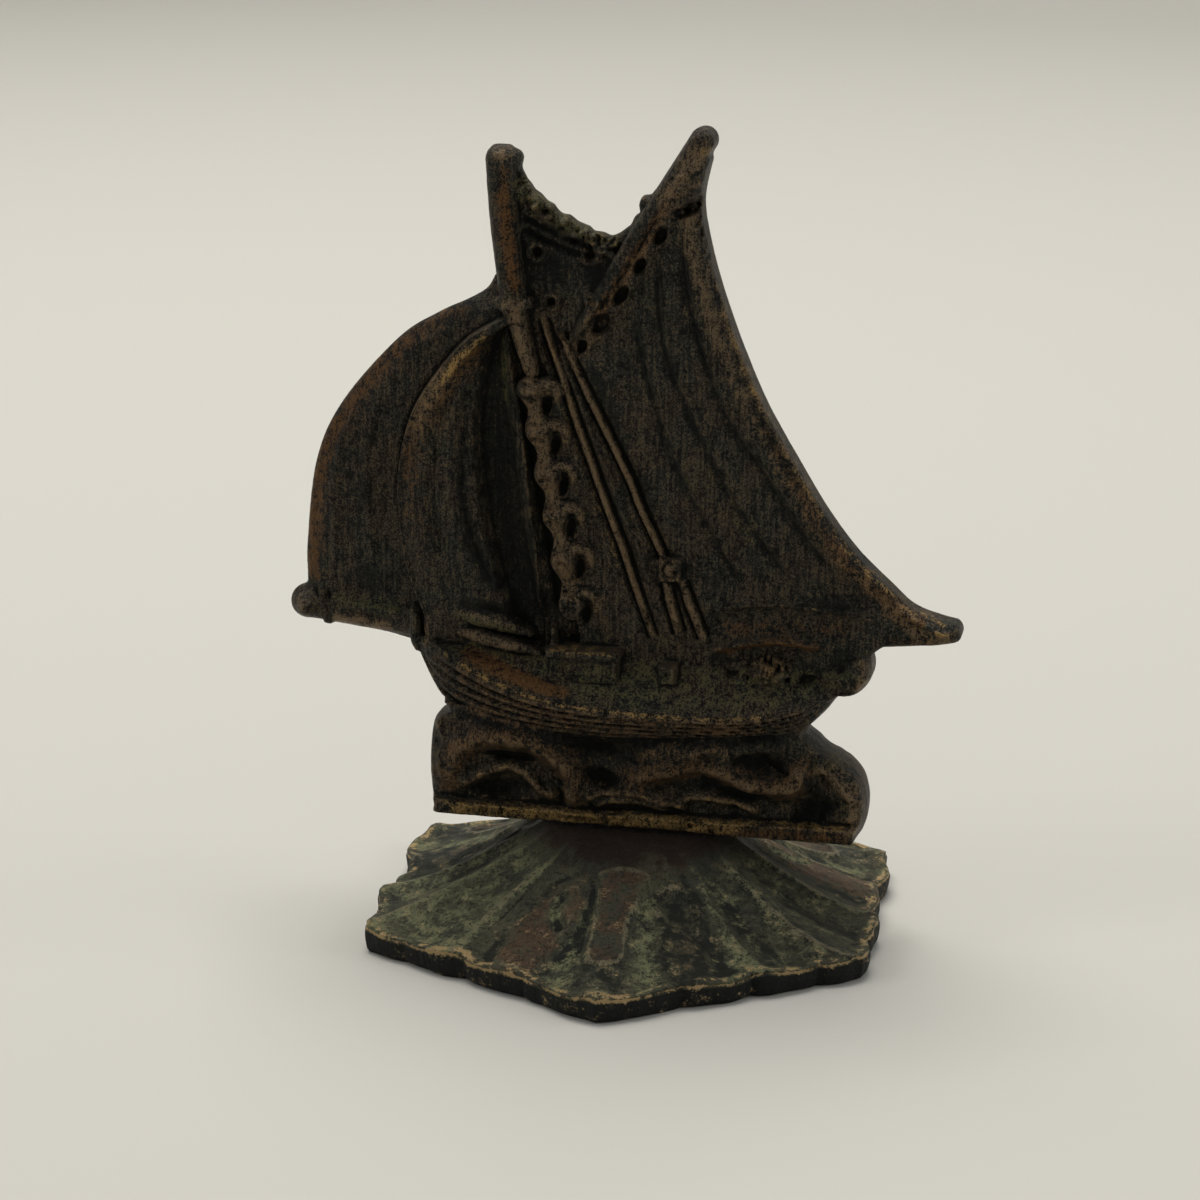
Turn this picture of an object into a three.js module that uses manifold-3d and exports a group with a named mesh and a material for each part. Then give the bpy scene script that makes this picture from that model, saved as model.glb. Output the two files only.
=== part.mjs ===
// Brass sailboat ornament in two castings: a gaff-rigged sailing boat riding on a block of waves, and the
// hollow flared foot with a scalloped six-sided rim that it stands on.
// Millimetres, +Z up. The bow points to -X and the finer side faces -Y. The origin lies on the table, under
// the middle of the whole ornament.

import * as THREE from "three";
import Module from "manifold-3d";

const wasm = await Module();
wasm.setup();

// ---------------------------------------------------------------- driving dimensions

const HALF_LENGTH = 38.25; // origin to the end of the boom, and to the end of the bowsprit
const PEAK_Z = 90; // top of the gaff, the highest point
const MASTHEAD_Z = 87.4;
const BLOCK_BOTTOM = 11.6; // flat underside of the wave block
const BLOCK_HALF_DEPTH = 4.4; // at the lip around the underside
const BLOCK_WALL_DEPTH = 3.3; // half the depth of the block above its lip
const SAIL_DEPTH = 1.7; // half the thickness of a plain part of a sail
const SPAR_DEPTH = 2.3; // half the thickness of the casting at a spar

const FOOT_X = 1.95; // the foot stands a little aft of the middle
const FOOT_TURN = THREE.MathUtils.degToRad(-86); // direction of the front corner of the foot
const FOOT_RADIUS = 32.2; // centre to corner, before the corners are rounded
const FOOT_TOP = BLOCK_BOTTOM - 0.3; // the flat top of the neck, with a gap under the block
const NECK_RADIUS = 10;
const RIM_Z = 2.5; // thickness of the rim
const RIM_WIDTH = 2.6; // width of the flat ring it stands on
const WALL = 2.4; // thickness of the foot's wall

// ---------------------------------------------------------------- curves

// A smooth curve in the boat's upright middle plane, through points given as [x, z].
const curve = (...points) => new THREE.SplineCurve(points.map(([x, z]) => new THREE.Vector2(x, z)));

// A smooth function of one number through pairs given as [input, output].
function through(...pairs) {
  const slope = (i) => {
    const [a, b] = [pairs[Math.max(i - 1, 0)], pairs[Math.min(i + 1, pairs.length - 1)]];
    return (b[1] - a[1]) / (b[0] - a[0]);
  };
  return (input) => {
    const x = THREE.MathUtils.clamp(input, pairs[0][0], pairs.at(-1)[0]);
    const i = Math.max(pairs.findLastIndex((pair, k) => pair[0] <= x && k < pairs.length - 1), 0);
    const [[x0, y0], [x1, y1]] = [pairs[i], pairs[i + 1]];
    const width = x1 - x0;
    const t = (x - x0) / width;
    const ends = y0 * (1 + 2 * t) * (1 - t) ** 2 + y1 * t * t * (3 - 2 * t);
    const bends = slope(i) * t * (1 - t) ** 2 - slope(i + 1) * t * t * (1 - t);
    return ends + bends * width;
  };
}

const bump = (distance, width) => Math.exp(-((distance / width) ** 2));

// ---------------------------------------------------------------- closed shapes

// Turns shared vertices and triangles into a solid with its faces pointing out.
function solid(vertices, triangles) {
  const corner = [new THREE.Vector3(), new THREE.Vector3(), new THREE.Vector3()];
  let volume = 0;
  for (const triangle of triangles) {
    triangle.forEach((v, k) => corner[k].fromArray(vertices[v]));
    volume += corner[0].dot(corner[1].cross(corner[2])) / 6;
  }
  const outward = volume > 0 ? triangles : triangles.map(([a, b, c]) => [a, c, b]);
  const vertProperties = Float32Array.from(vertices.flat());
  const triVerts = Uint32Array.from(outward.flat());
  return new wasm.Manifold(new wasm.Mesh({ numProp: 3, vertProperties, triVerts }));
}

// Joins a row of closed rings of points, each with the same even number of points, and closes both ends
// with a strip that links the first half of the ring to its second half.
function loft(rings) {
  const count = rings[0].length;
  const triangles = [];
  const quad = (a, b, c, d) => triangles.push([a, b, c], [a, c, d]);
  for (let r = 0; r + 1 < rings.length; r += 1) {
    for (let i = 0; i < count; i += 1) {
      const next = (i + 1) % count;
      quad(r * count + i, r * count + next, (r + 1) * count + next, (r + 1) * count + i);
    }
  }
  const last = (rings.length - 1) * count;
  for (let i = 0; i + 1 < count / 2; i += 1) {
    quad(count - 1 - i, count - 2 - i, i + 1, i);
    quad(last + i, last + i + 1, last + count - 2 - i, last + count - 1 - i);
  }
  return solid(rings.flat(), triangles);
}

// A round bar along a route of [x, y, z] points. Its radius follows the list of radii from end to end, depth
// stretches it across the boat, and its ends are rounded.
function bar(route, radii, { depth = 1, sides = 8, steps = 6 } = {}) {
  const path = new THREE.CatmullRomCurve3(route.map((point) => new THREE.Vector3(...point)));
  const length = path.getLength();
  const radiusAt = through(...radii.map((radius, i) => [i / (radii.length - 1), radius]));
  const rounding = [radii[0] / length, radii.at(-1) / length];
  const inner = Array.from({ length: steps + 1 }, (_, i) => {
    return THREE.MathUtils.lerp(rounding[0], 1 - rounding[1], i / steps);
  });
  const stations = [0, rounding[0] * 0.35, ...inner, 1 - rounding[1] * 0.35, 1];
  return loft(stations.map((t, k) => {
    const fromEnd = Math.min(k, stations.length - 1 - k);
    const radius = radiusAt(t) * [0.35, 0.78, 1][Math.min(fromEnd, 2)];
    const centre = path.getPointAt(t);
    const along = path.getTangentAt(t);
    const across = new THREE.Vector3(0, 1, 0).cross(along).normalize();
    const outward = along.clone().cross(across).normalize();
    return Array.from({ length: sides }, (_, i) => {
      const angle = ((i + 0.5) / sides) * 2 * Math.PI;
      const point = centre.clone().addScaledVector(across, radius * Math.cos(angle));
      return point.addScaledVector(outward, radius * depth * Math.sin(angle)).toArray();
    });
  }));
}

// A lump: a ball stretched until the flats of its faces reach three half-sizes.
function lump(centre, halfSizes, sides = 8) {
  const levels = sides / 2;
  const [rx, ry, rz] = halfSizes.map((half) => half / Math.cos(Math.PI / sides));
  return loft(Array.from({ length: levels + 1 }, (_, level) => {
    const tilt = THREE.MathUtils.lerp(0.16, 0.84, level / levels) * Math.PI;
    return Array.from({ length: sides }, (_, i) => {
      const angle = ((i + 0.5) / sides) * 2 * Math.PI;
      const [x, y] = [Math.sin(tilt) * Math.cos(angle) * rx, Math.sin(tilt) * Math.sin(angle) * ry];
      return [centre[0] + x, centre[1] + y, centre[2] + Math.cos(tilt) * rz];
    });
  }));
}

// A sail is a patch stretched between four edges in the middle plane. u runs from the left edge to the
// right edge and v from the head to the foot. front and back give the half thicknesses at (u, v).
function sail({ left, right, head, foot, front, back, columns, rows }) {
  const corner = [left.getPoint(0), right.getPoint(0), left.getPoint(1), right.getPoint(1)];
  const place = (u, v) => {
    const sum = new THREE.Vector2();
    sum.addScaledVector(left.getPointAt(v), 1 - u).addScaledVector(right.getPointAt(v), u);
    sum.addScaledVector(head.getPointAt(u), 1 - v).addScaledVector(foot.getPointAt(u), v);
    sum.addScaledVector(corner[0], -(1 - u) * (1 - v)).addScaledVector(corner[1], -u * (1 - v));
    return sum.addScaledVector(corner[2], -(1 - u) * v).addScaledVector(corner[3], -u * v);
  };
  return loft(Array.from({ length: rows + 1 }, (_, row) => {
    const v = row / rows;
    const across = Array.from({ length: columns + 1 }, (_, column) => column / columns);
    const side = (u, y) => [place(u, v).x, y, place(u, v).y];
    const shown = across.map((u) => side(u, -front(u, v)));
    const hidden = across.map((u) => side(u, back(u, v)));
    return [...shown, ...hidden.reverse()];
  }));
}

// ---------------------------------------------------------------- sails

const LUFF = curve([-8.9, 61], [-7.4, 51], [-5.7, 41.3], [-4.4, 35]); // where the mainsail meets the mast
const LEECH = curve(
  [9.2, 87], [9.2, 81.5], [12.2, 71.2], [16.8, 59.6], [23.1, 48.6], [30.5, 40.4], [36.4, 37.2],
);
const STAY = curve([-12.4, 69], [-16.5, 66.4], [-22.3, 58.6], [-24.4, 49], [-23.6, 40.5], [-21.6, 34.2]);
const JIB_LUFF = curve(
  [-13.2, 73], [-17, 70.4], [-25, 65.7], [-31.6, 58.2], [-35.3, 49], [-36.2, 41], [-36.3, 36],
);
const STAYSAIL_LEECH = curve([-11, 68.5], [-9, 60], [-7.4, 50], [-5.9, 41.3], [-4.7, 34]);

// Thickness of a sail that swells away from its edges.
const belly = (u, v, height) => height * Math.sin(Math.PI * u) * Math.sin(Math.PI * Math.min(v * 1.2, 1));

function sails() {
  const mainsail = sail({
    left: LUFF,
    right: LEECH,
    head: curve([-8.9, 61], [-3.5, 68.6], [3.9, 80.6], [9.2, 87]),
    foot: curve([-4.4, 35], [10, 35.2], [25, 36], [36.4, 37.2]),
    front: (u, v) => SAIL_DEPTH + 0.2 + belly(u, v, 0.5) - 0.9 * bump(1 - u, 0.05),
    back: (u, v) => SAIL_DEPTH + belly(u, v, 0.3) - 0.5 * bump(1 - u, 0.05),
    columns: 8,
    rows: 8,
  });
  const topsail = sail({
    left: curve([-11.6, 85], [-11.4, 73], [-9.2, 60]),
    right: curve([2.2, 78], [-2, 71], [-8.4, 60]),
    head: curve([-11.6, 85], [-9.6, 82.3], [-5.9, 79.9], [-1, 78.1], [2.2, 78]),
    foot: curve([-9.2, 60], [-8.8, 60], [-8.4, 60]),
    front: (u, v) => SAIL_DEPTH - 0.4 + 0.3 * bump(v, 0.12),
    back: () => SAIL_DEPTH - 0.2,
    columns: 4,
    rows: 5,
  });
  const jib = sail({
    left: JIB_LUFF,
    right: STAY,
    head: curve([-13.2, 73], [-12.8, 71], [-12.4, 69]),
    foot: curve([-36.3, 36], [-29, 34.6], [-21.6, 34.2]),
    front: (u) => SAIL_DEPTH - 0.4 - 0.3 * Math.sin(Math.PI * u) + 0.3 * bump(u, 0.12),
    back: (u, v) => SAIL_DEPTH - 0.3 + belly(u, v, 0.4),
    columns: 5,
    rows: 8,
  });
  // The staysail stands proud along its free edge and falls away to a deep hollow before the mast.
  const staysail = sail({
    left: STAY,
    right: STAYSAIL_LEECH,
    head: curve([-12.4, 69], [-11.7, 68.8], [-11, 68.5]),
    foot: curve([-21.6, 34.2], [-15, 33.4], [-4.7, 34]),
    front: (u) => SAIL_DEPTH + 1.5 * (1 - u) - 1.7 * bump(u - 0.58, 0.2),
    back: (u, v) => SAIL_DEPTH + belly(u, v, 0.5),
    columns: 7,
    rows: 8,
  });
  return [mainsail, topsail, jib, staysail];
}

// ---------------------------------------------------------------- spars and rigging

const inPlane = (...points) => points.map(([x, z]) => [x, 0, z]);
const onFace = (y, ...points) => points.map(([x, z]) => [x, y, z]);

function spars() {
  const depth = (radius) => SPAR_DEPTH / radius;
  const mast = bar(
    inPlane([-13.1, MASTHEAD_Z], [-12.8, 79], [-11.6, 71.5], [-8.9, 60], [-5.8, 42], [-3.8, 31]),
    [1.75, 1.6, 1.45, 1.1, 1.2, 1.2],
    { depth: depth(1.6), steps: 9 },
  );
  const gaff = bar(
    inPlane([9, PEAK_Z - 0.21], [3.9, 80.6], [0.1, 74.4], [-6.5, 63.5]),
    [1.35, 1.3, 1.15, 0.9],
    { depth: depth(1.3), steps: 5 },
  );
  const boom = bar(
    inPlane([-3, 35.6], [14, 36], [28, 36.1], [HALF_LENGTH, 36]),
    [1.7, 2, 1.9, 1.15],
    { depth: depth(2.1), steps: 6 },
  );
  const bowspritRoute = inPlane([-37, 34.6], [-30, 34.1], [-20, 33]);
  const bowsprit = bar(bowspritRoute, [1.6, 1.95, 1.9], { depth: 1.15, steps: 4 });
  const bowspritKnob = lump([2 - HALF_LENGTH, 0, 34.7], [2, 2.1, 2]);
  const mastheadKnob = lump([-11.9, -0.6, 86.3], [0.95, 1, 1.1], 6);
  return [mast, gaff, boom, bowsprit, bowspritKnob, mastheadKnob];
}

function rigging() {
  const rope = (route, radii, steps) => bar(route, radii, { sides: 6, steps });
  const face = -2.25;
  const shroud = rope(onFace(face, [-8.2, 68], [-4.5, 57.6], [-1.3, 48.7], [4.2, 33]), [0.55, 0.6, 0.6], 3);
  const fall = rope(onFace(face, [-5.4, 66], [-1.3, 56.9], [5.9, 41.8]), [0.4, 0.45, 0.45], 2);
  const tackle = [[5.9, 7.4], [7, 9.6]].map(([top, bottom]) => {
    return rope(onFace(-2.3, [top, 40.4], [bottom, 34]), [0.45, 0.45], 1);
  });
  const pulley = lump([6, -2.2, 41.6], [1.35, 1.1, 1.45], 8);
  const luffCord = rope(onFace(-1.4, [-11.6, 63.5], [-10.1, 53.5], [-9, 42]), [0.45, 0.5, 0.5], 2);
  // Lumps of lacing that bind the mainsail to the mast, evenly spaced down it.
  const lacingRoute = curve([-9.9, 60.5], [-8, 51.1], [-6.3, 42], [-4.8, 36.9]);
  const lacing = Array.from({ length: 6 }, (_, i) => {
    const { x, y: z } = lacingRoute.getPointAt(i / 5);
    const route = [[x - 0.4, -2.1, z - 0.9], [x + 0.2, -2.5, z + 0.2], [x + 2.2, -2, z + 0.6]];
    return bar(route, [0.9, 0.95, 0.5], { sides: 5, steps: 2 });
  });
  return [shroud, fall, ...tackle, pulley, luffCord, ...lacing];
}

// ---------------------------------------------------------------- hull and deck

const KEEL = through(
  [-24.6, 30.6],
  [-23.6, 28.4],
  [-22.2, 25.5],
  [-20.6, 23.4],
  [-16, 22.6],
  [0, 22.2],
  [12, 22.8],
  [20, 23.6],
  [22.4, 24.9],
  [24.8, 27.4],
);
const GUNWALE = through(
  [-24.6, 32.4], [-20.3, 30.9], [-13, 27.9], [-6, 26], [3, 25.6], [12, 25.5], [18, 26], [24.8, 28.3],
);
const HALF_BEAM = through(
  [-24.6, 0.9], [-20.3, 3], [-13, 5.1], [-5, 6.2], [5, 6.4], [14, 6.1], [20, 5], [24.8, 3],
);
// top of the sloping deck
const DECK = through(
  [-24.6, 33.4], [-15, 31.6], [0, 31], [14, 31.2], [24.8, 32.2],
);
const WEB_TOP = through([-24.6, 34], [-20, 34.6], [24.8, 35.6]); // thin wall between the deck and the sails
const WEB_DEPTH = 1.3;

function hull() {
  const stations = 16;
  const [bow, stern] = [-24.6, 24.8];
  return loft(Array.from({ length: stations + 1 }, (_, i) => {
    const x = THREE.MathUtils.lerp(bow, stern, i / stations);
    const [keel, rail, beam, deck] = [KEEL(x), GUNWALE(x), HALF_BEAM(x), DECK(x)];
    const half = [
      [0.3 * beam, keel - 0.5],
      [0.66 * beam, keel + 0.1],
      [0.88 * beam, THREE.MathUtils.lerp(keel, rail, 0.45)],
      [beam, rail - 0.5],
      [0.98 * beam, rail + 0.1],
      [0.84 * beam, rail + 0.2],
      [0.62 * beam, THREE.MathUtils.lerp(rail, deck, 0.5)],
      [Math.min(0.45 * beam, 2.3), deck],
      [Math.min(0.4 * beam, WEB_DEPTH), deck + 0.4],
      [Math.min(0.36 * beam, WEB_DEPTH), WEB_TOP(x)],
    ];
    const shown = half.map(([y, z]) => [x, -y, z]);
    const hidden = half.map(([y, z]) => [x, y, z]);
    return [...shown, ...hidden.reverse()];
  }));
}

// A block with upright faces, from its lowest corner to its highest.
function block([x0, y0, z0], [x1, y1, z1]) {
  const ring = (x) => [[x, y0, z0], [x, y1, z0], [x, y1, z1], [x, y0, z1]];
  return loft([ring(x0), ring(x1)]);
}

function deckFittings() {
  const cabinRoof = block([-7.4, -4.9, 31.3], [0.7, -1.5, 32.2]);
  const cabinWall = block([-7, -4.6, 28.5], [0.9, -1.5, 31.4]);
  const bitt = lump([6, -4, 29.9], [1.1, 1, 1.2], 6);
  const crew = [[14, 31.2, 1.2], [16.4, 31.9, 1.7], [18.6, 31.4, 1.4]].map(([x, z, size]) => {
    return lump([x, -3, z], [size, 1.3, size], 6);
  });
  const foldedSail = [[34.4, 32.7], [33, 31.5]].map(([foreZ, aftZ]) => {
    const route = onFace(-2.6, [-20, foreZ], [-15, (foreZ + aftZ) / 2 + 0.1], [-9.8, aftZ]);
    return bar(route, [0.9, 1, 0.8], { sides: 6, steps: 3 });
  });
  const knightheads = [-24, -22.4].map((x) => {
    return bar(onFace(-1.2, [x, 35], [x + 0.2, 31.4]), [0.9, 0.8], { sides: 6, steps: 2 });
  });
  const stern = lump([25.8, 0, 31.6], [3.4, 3.2, 3.4], 12);
  const sternPit = lump([25.2, -3.4, 32.4], [1.5, 1.5, 1.5], 8);
  const added = [cabinRoof, cabinWall, bitt, ...crew, ...foldedSail, ...knightheads, stern];
  return { added, cut: [sternPit] };
}

// ---------------------------------------------------------------- wave block

const BLOCK_FORE = through([BLOCK_BOTTOM, -20], [13, -21], [17, -21.3], [21, -21], [24.4, -20.2]);
const BLOCK_AFT = through(
  [BLOCK_BOTTOM, 26.8],
  [15.7, 28],
  [17.7, 27.5],
  [19.4, 26.2],
  [20.6, 23.8],
  [22.2, 21.6],
  [24.4, 20.8],
);
const BLOCK_DEPTH = through(
  [BLOCK_BOTTOM, BLOCK_HALF_DEPTH - 0.1],
  [13.3, BLOCK_HALF_DEPTH],
  [14.2, BLOCK_WALL_DEPTH],
  [20.5, BLOCK_WALL_DEPTH],
  [24.4, BLOCK_WALL_DEPTH + 0.3],
);

function waveBlock() {
  const levels = [BLOCK_BOTTOM, 12.4, 13.3, 13.8, 14.2, 16, 17.7, 19.2, 20.4, 21.4, 22.6, 24.4];
  const corners = 24;
  const squareness = 2 / 7;
  const square = (value) => Math.sign(value) * Math.abs(value) ** squareness;
  return loft(levels.map((z) => {
    const middle = (BLOCK_FORE(z) + BLOCK_AFT(z)) / 2;
    const half = (BLOCK_AFT(z) - BLOCK_FORE(z)) / 2;
    return Array.from({ length: corners }, (_, i) => {
      const angle = ((i + 0.5) / corners) * 2 * Math.PI;
      return [middle + half * square(Math.cos(angle)), BLOCK_DEPTH(z) * square(Math.sin(angle)), z];
    });
  }));
}

// Wave crests as bars lying on the face of the block, thick at the root and thin at the tip. The hidden
// side repeats the two largest.
function waves() {
  const face = BLOCK_WALL_DEPTH + 0.1;
  const crests = [
    {
      path: [[-20, 14.6], [-18.6, 18], [-16, 20.4], [-12.6, 21.5], [-8.4, 20.7], [-5.4, 18.8], [-4, 16.4]],
      thick: [1.2, 1.3, 1.1, 0.7],
    },
    {
      path: [[1.2, 16.6], [5.2, 19], [9, 20.3], [13.4, 19.6], [17.8, 18], [21, 18.2], [21.4, 20.4]],
      thick: [0.8, 1.3, 1.2, 0.7],
    },
    { path: [[-18.4, 14.4], [-15.6, 17], [-12.4, 18], [-9.4, 17.4], [-7, 15.4]], thick: [0.6, 0.9, 0.6] },
    { path: [[-2.9, 14.4], [0.8, 15.8], [4.4, 15.7], [8.4, 14.4]], thick: [0.6, 0.9, 0.6] },
    { path: [[9.2, 14.4], [13, 15.4], [17, 15], [21, 14.2]], thick: [0.6, 0.8, 0.5] },
    { path: [[22.6, 20], [25.4, 17.8], [26.4, 14.4]], thick: [0.7, 0.9, 0.7] },
  ];
  const crest = ({ path, thick }, side) => {
    return bar(onFace(side * face, ...path), thick, { sides: 6, steps: path.length - 1 });
  };
  return [...crests.map((shape) => crest(shape, -1)), ...crests.slice(0, 2).map((shape) => crest(shape, 1))];
}

// ---------------------------------------------------------------- foot

const SECTOR = 120; // degrees from one leaf ornament to the next
const NOTCHES = [-18, 18, 35.5, 51, 69, 84.5, 102]; // where the rim's lobes meet, in degrees from a leaf
const RIDGES = [-41, 41, 60, 79]; // ridges between the flutes, in degrees from a leaf
const NOTCH_DEPTH = 1;
const RIDGE_HEIGHT = 0.85;

// Degrees from the nearest leaf ornament's axis, from -18 up to the next leaf's -18.
const inSector = (degrees, start) => THREE.MathUtils.euclideanModulo(degrees - start, SECTOR) + start;

// The rim: a hexagon with rounded corners, its edge drawn in where two lobes meet.
function rimRadius(degrees) {
  const fromSide = THREE.MathUtils.euclideanModulo(degrees, 60) - 30;
  const apothem = FOOT_RADIUS * Math.cos(Math.PI / 6);
  const hexagon = apothem / Math.cos(THREE.MathUtils.degToRad(fromSide));
  const rounded = hexagon - 0.5 * bump(Math.abs(fromSide) - 30, 3);
  const angle = inSector(degrees, NOTCHES[0]);
  const lobe = NOTCHES.findIndex((notch, i) => angle >= notch && angle < (NOTCHES[i + 1] ?? SECTOR));
  const across = (angle - NOTCHES[lobe]) / (NOTCHES[lobe + 1] - NOTCHES[lobe]);
  return rounded - NOTCH_DEPTH * (1 - Math.sqrt(Math.sin(Math.PI * across)));
}

// Height of the flutes and leaves over the plain trumpet shape. out runs from 0 at the neck to 1 at the rim.
function footRelief(degrees, out) {
  const fade = Math.sin(Math.PI * Math.min(out * 1.6 + 0.12, 1) * 0.5) * (1 - 0.75 * out ** 3);
  const angle = inSector(degrees, -60);
  if (Math.abs(angle) < RIDGES[1]) {
    const outward = NECK_RADIUS + out * (FOOT_RADIUS - NECK_RADIUS);
    const sideways = THREE.MathUtils.degToRad(angle) * outward;
    const tongue = bump(sideways, 1.7) * bump(out - 0.42, 0.34);
    const lobes = bump(Math.abs(sideways) - 6.3, 2.4) * bump(out - 0.38, 0.3);
    const border = bump(Math.abs(angle) - RIDGES[1], 5);
    return RIDGE_HEIGHT * (0.85 * tongue + 0.9 * lobes + fade * border);
  }
  const flute = inSector(degrees, RIDGES[1]);
  const i = flute < RIDGES[2] ? 1 : 2;
  const across = (flute - RIDGES[i]) / (RIDGES[i + 1] - RIDGES[i]);
  return RIDGE_HEIGHT * fade * Math.abs(2 * across - 1) ** 1.7;
}

// Height of the outer surface.
const footHeight = (degrees, out) => RIM_Z + (FOOT_TOP - RIM_Z) * (1 - out) ** 1.7 + footRelief(degrees, out);

function foot() {
  const columns = 120;
  const skin = [0, 0.08, 0.2, 0.34, 0.48, 0.63, 0.8, 0.93, 1];
  const hollow = [0.62, 0.12];
  const ring = (place) => Array.from({ length: columns }, (_, i) => {
    const degrees = (i / columns) * 360;
    const angle = THREE.MathUtils.degToRad(degrees) + FOOT_TURN;
    const { radius, z } = place(degrees);
    return [FOOT_X + radius * Math.cos(angle), radius * Math.sin(angle), z];
  });
  const outer = skin.map((out) => ring((degrees) => ({
    radius: THREE.MathUtils.lerp(NECK_RADIUS, rimRadius(degrees), out),
    z: out === 0 ? FOOT_TOP : Math.min(footHeight(degrees, out) - (out === 1 ? 0.35 : 0), FOOT_TOP),
  })));
  const edge = [
    ring((degrees) => ({ radius: rimRadius(degrees) - 0.2, z: 0 })),
    ring((degrees) => ({ radius: rimRadius(degrees) - RIM_WIDTH, z: 0 })),
  ];
  const inner = hollow.map((out) => ring((degrees) => ({
    radius: THREE.MathUtils.lerp(NECK_RADIUS - 4, rimRadius(degrees) - RIM_WIDTH, out),
    z: RIM_Z + (FOOT_TOP - RIM_Z) * (1 - out) ** 1.7 - WALL,
  })));
  const rings = [...outer, ...edge, ...inner];
  const vertices = [...rings.flat(), [FOOT_X, 0, FOOT_TOP], [FOOT_X, 0, inner.at(-1)[0][2]]];
  const [top, roof] = [vertices.length - 2, vertices.length - 1];
  const triangles = [];
  const last = (rings.length - 1) * columns;
  for (let i = 0; i < columns; i += 1) {
    const next = (i + 1) % columns;
    for (let r = 0; r + 1 < rings.length; r += 1) {
      const [near, far] = [r * columns, (r + 1) * columns];
      triangles.push([near + i, far + i, far + next], [near + i, far + next, near + next]);
    }
    triangles.push([top, i, next], [roof, last + next, last + i]);
  }
  return solid(vertices, triangles);
}

// ---------------------------------------------------------------- assembly

function mesh(name, shape, finish) {
  const { vertProperties, triVerts } = shape.getMesh();
  const geometry = new THREE.BufferGeometry();
  geometry.setAttribute("position", new THREE.BufferAttribute(Float32Array.from(vertProperties), 3));
  geometry.setIndex(new THREE.BufferAttribute(Uint32Array.from(triVerts), 1));
  geometry.computeVertexNormals();
  const piece = new THREE.Mesh(geometry, new THREE.MeshStandardMaterial(finish));
  piece.name = name;
  return piece;
}

function sailboat() {
  const { added, cut } = deckFittings();
  const pieces = [...sails(), ...spars(), ...rigging(), hull(), ...added, waveBlock(), ...waves()];
  const joined = pieces.reduce((whole, piece) => whole.add(piece));
  return cut.reduce((whole, piece) => whole.subtract(piece), joined);
}

const ornament = new THREE.Group();
ornament.add(mesh("sailboat", sailboat(), { color: 0x3b2f26, roughness: 0.5, metalness: 0.85 }));
ornament.add(mesh("foot", foot(), { color: 0x46493c, roughness: 0.6, metalness: 0.7 }));

export default ornament;
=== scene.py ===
# %% [markdown]
# # A cast brass sailboat on a leaf foot
# The ornament is two sand castings: a boat with full sails riding on a block of curling waves, and a
# three-leaved foot that carries it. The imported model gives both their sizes. This lesson draws the relief
# of the boat as maps of depth on its middle plane, wraps a skin around them, spins the foot from a
# profile, and gives both an old bronze patina.

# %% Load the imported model
import math

import bpy
import numpy as np
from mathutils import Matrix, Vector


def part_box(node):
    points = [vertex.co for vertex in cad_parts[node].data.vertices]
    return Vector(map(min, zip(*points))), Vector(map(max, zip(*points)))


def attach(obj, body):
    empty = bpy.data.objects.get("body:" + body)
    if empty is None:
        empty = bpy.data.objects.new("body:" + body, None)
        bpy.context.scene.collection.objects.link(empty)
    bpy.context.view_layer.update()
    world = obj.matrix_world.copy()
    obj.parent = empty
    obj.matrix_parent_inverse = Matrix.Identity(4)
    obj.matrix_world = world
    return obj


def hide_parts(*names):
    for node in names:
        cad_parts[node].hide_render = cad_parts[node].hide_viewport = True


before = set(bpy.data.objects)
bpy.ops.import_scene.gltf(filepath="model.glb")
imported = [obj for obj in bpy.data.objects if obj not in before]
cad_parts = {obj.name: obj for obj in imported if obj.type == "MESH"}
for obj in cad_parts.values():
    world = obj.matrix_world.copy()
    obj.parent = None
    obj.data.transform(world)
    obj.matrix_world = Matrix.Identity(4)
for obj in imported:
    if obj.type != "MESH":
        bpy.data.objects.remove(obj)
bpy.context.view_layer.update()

boat_low, boat_high = (np.array(corner) * 1000 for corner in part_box("sailboat"))
foot_low, foot_high = (np.array(corner) * 1000 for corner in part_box("foot"))
print("boat from", boat_low.round(2), "to", boat_high.round(2), "mm")
print("foot from", foot_low.round(2), "to", foot_high.round(2), "mm")

# %% [markdown]
# ## Camera, floor and light
# A small ornament is looked at from a little above and a little to the right of its carved side, through
# a long lens, which keeps the sails from leaning. A camera can be placed by its coordinates, but an angle
# around the object, an angle above the floor and a distance are easier to think in, so it is aimed by them.

# %% Camera
MM = 0.001
AIM = np.array([-2.05, -0.91, 37.25])
AZIMUTH, ELEVATION = math.radians(12.6), math.radians(16.9)
DISTANCE = 350.0
LENS, SENSOR = 94.6, 36.0


def aimed_camera():
    """A camera on a sphere around AIM: sideways by the azimuth, up by the elevation, looking inwards."""
    data = bpy.data.cameras.new("camera")
    data.lens, data.sensor_width = LENS, SENSOR
    camera = bpy.data.objects.new("camera", data)
    bpy.context.scene.collection.objects.link(camera)
    level = math.cos(ELEVATION)
    away = np.array([level * math.sin(AZIMUTH), -level * math.cos(AZIMUTH), math.sin(ELEVATION)])
    camera.location = (AIM + DISTANCE * away) * MM
    camera.rotation_euler = (math.pi / 2 - ELEVATION, 0, AZIMUTH)
    return camera


camera = aimed_camera()
bpy.context.scene.camera = camera
print("camera at", [round(value / MM, 1) for value in camera.location], "mm")

# %% [markdown]
# A material is a tree of nodes, and every node could be made and linked by hand. The finishes below are
# sums and blends of many masks, which read better as arithmetic, so one small class stands for a socket
# and adds the node for each sign that is written.

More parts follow.
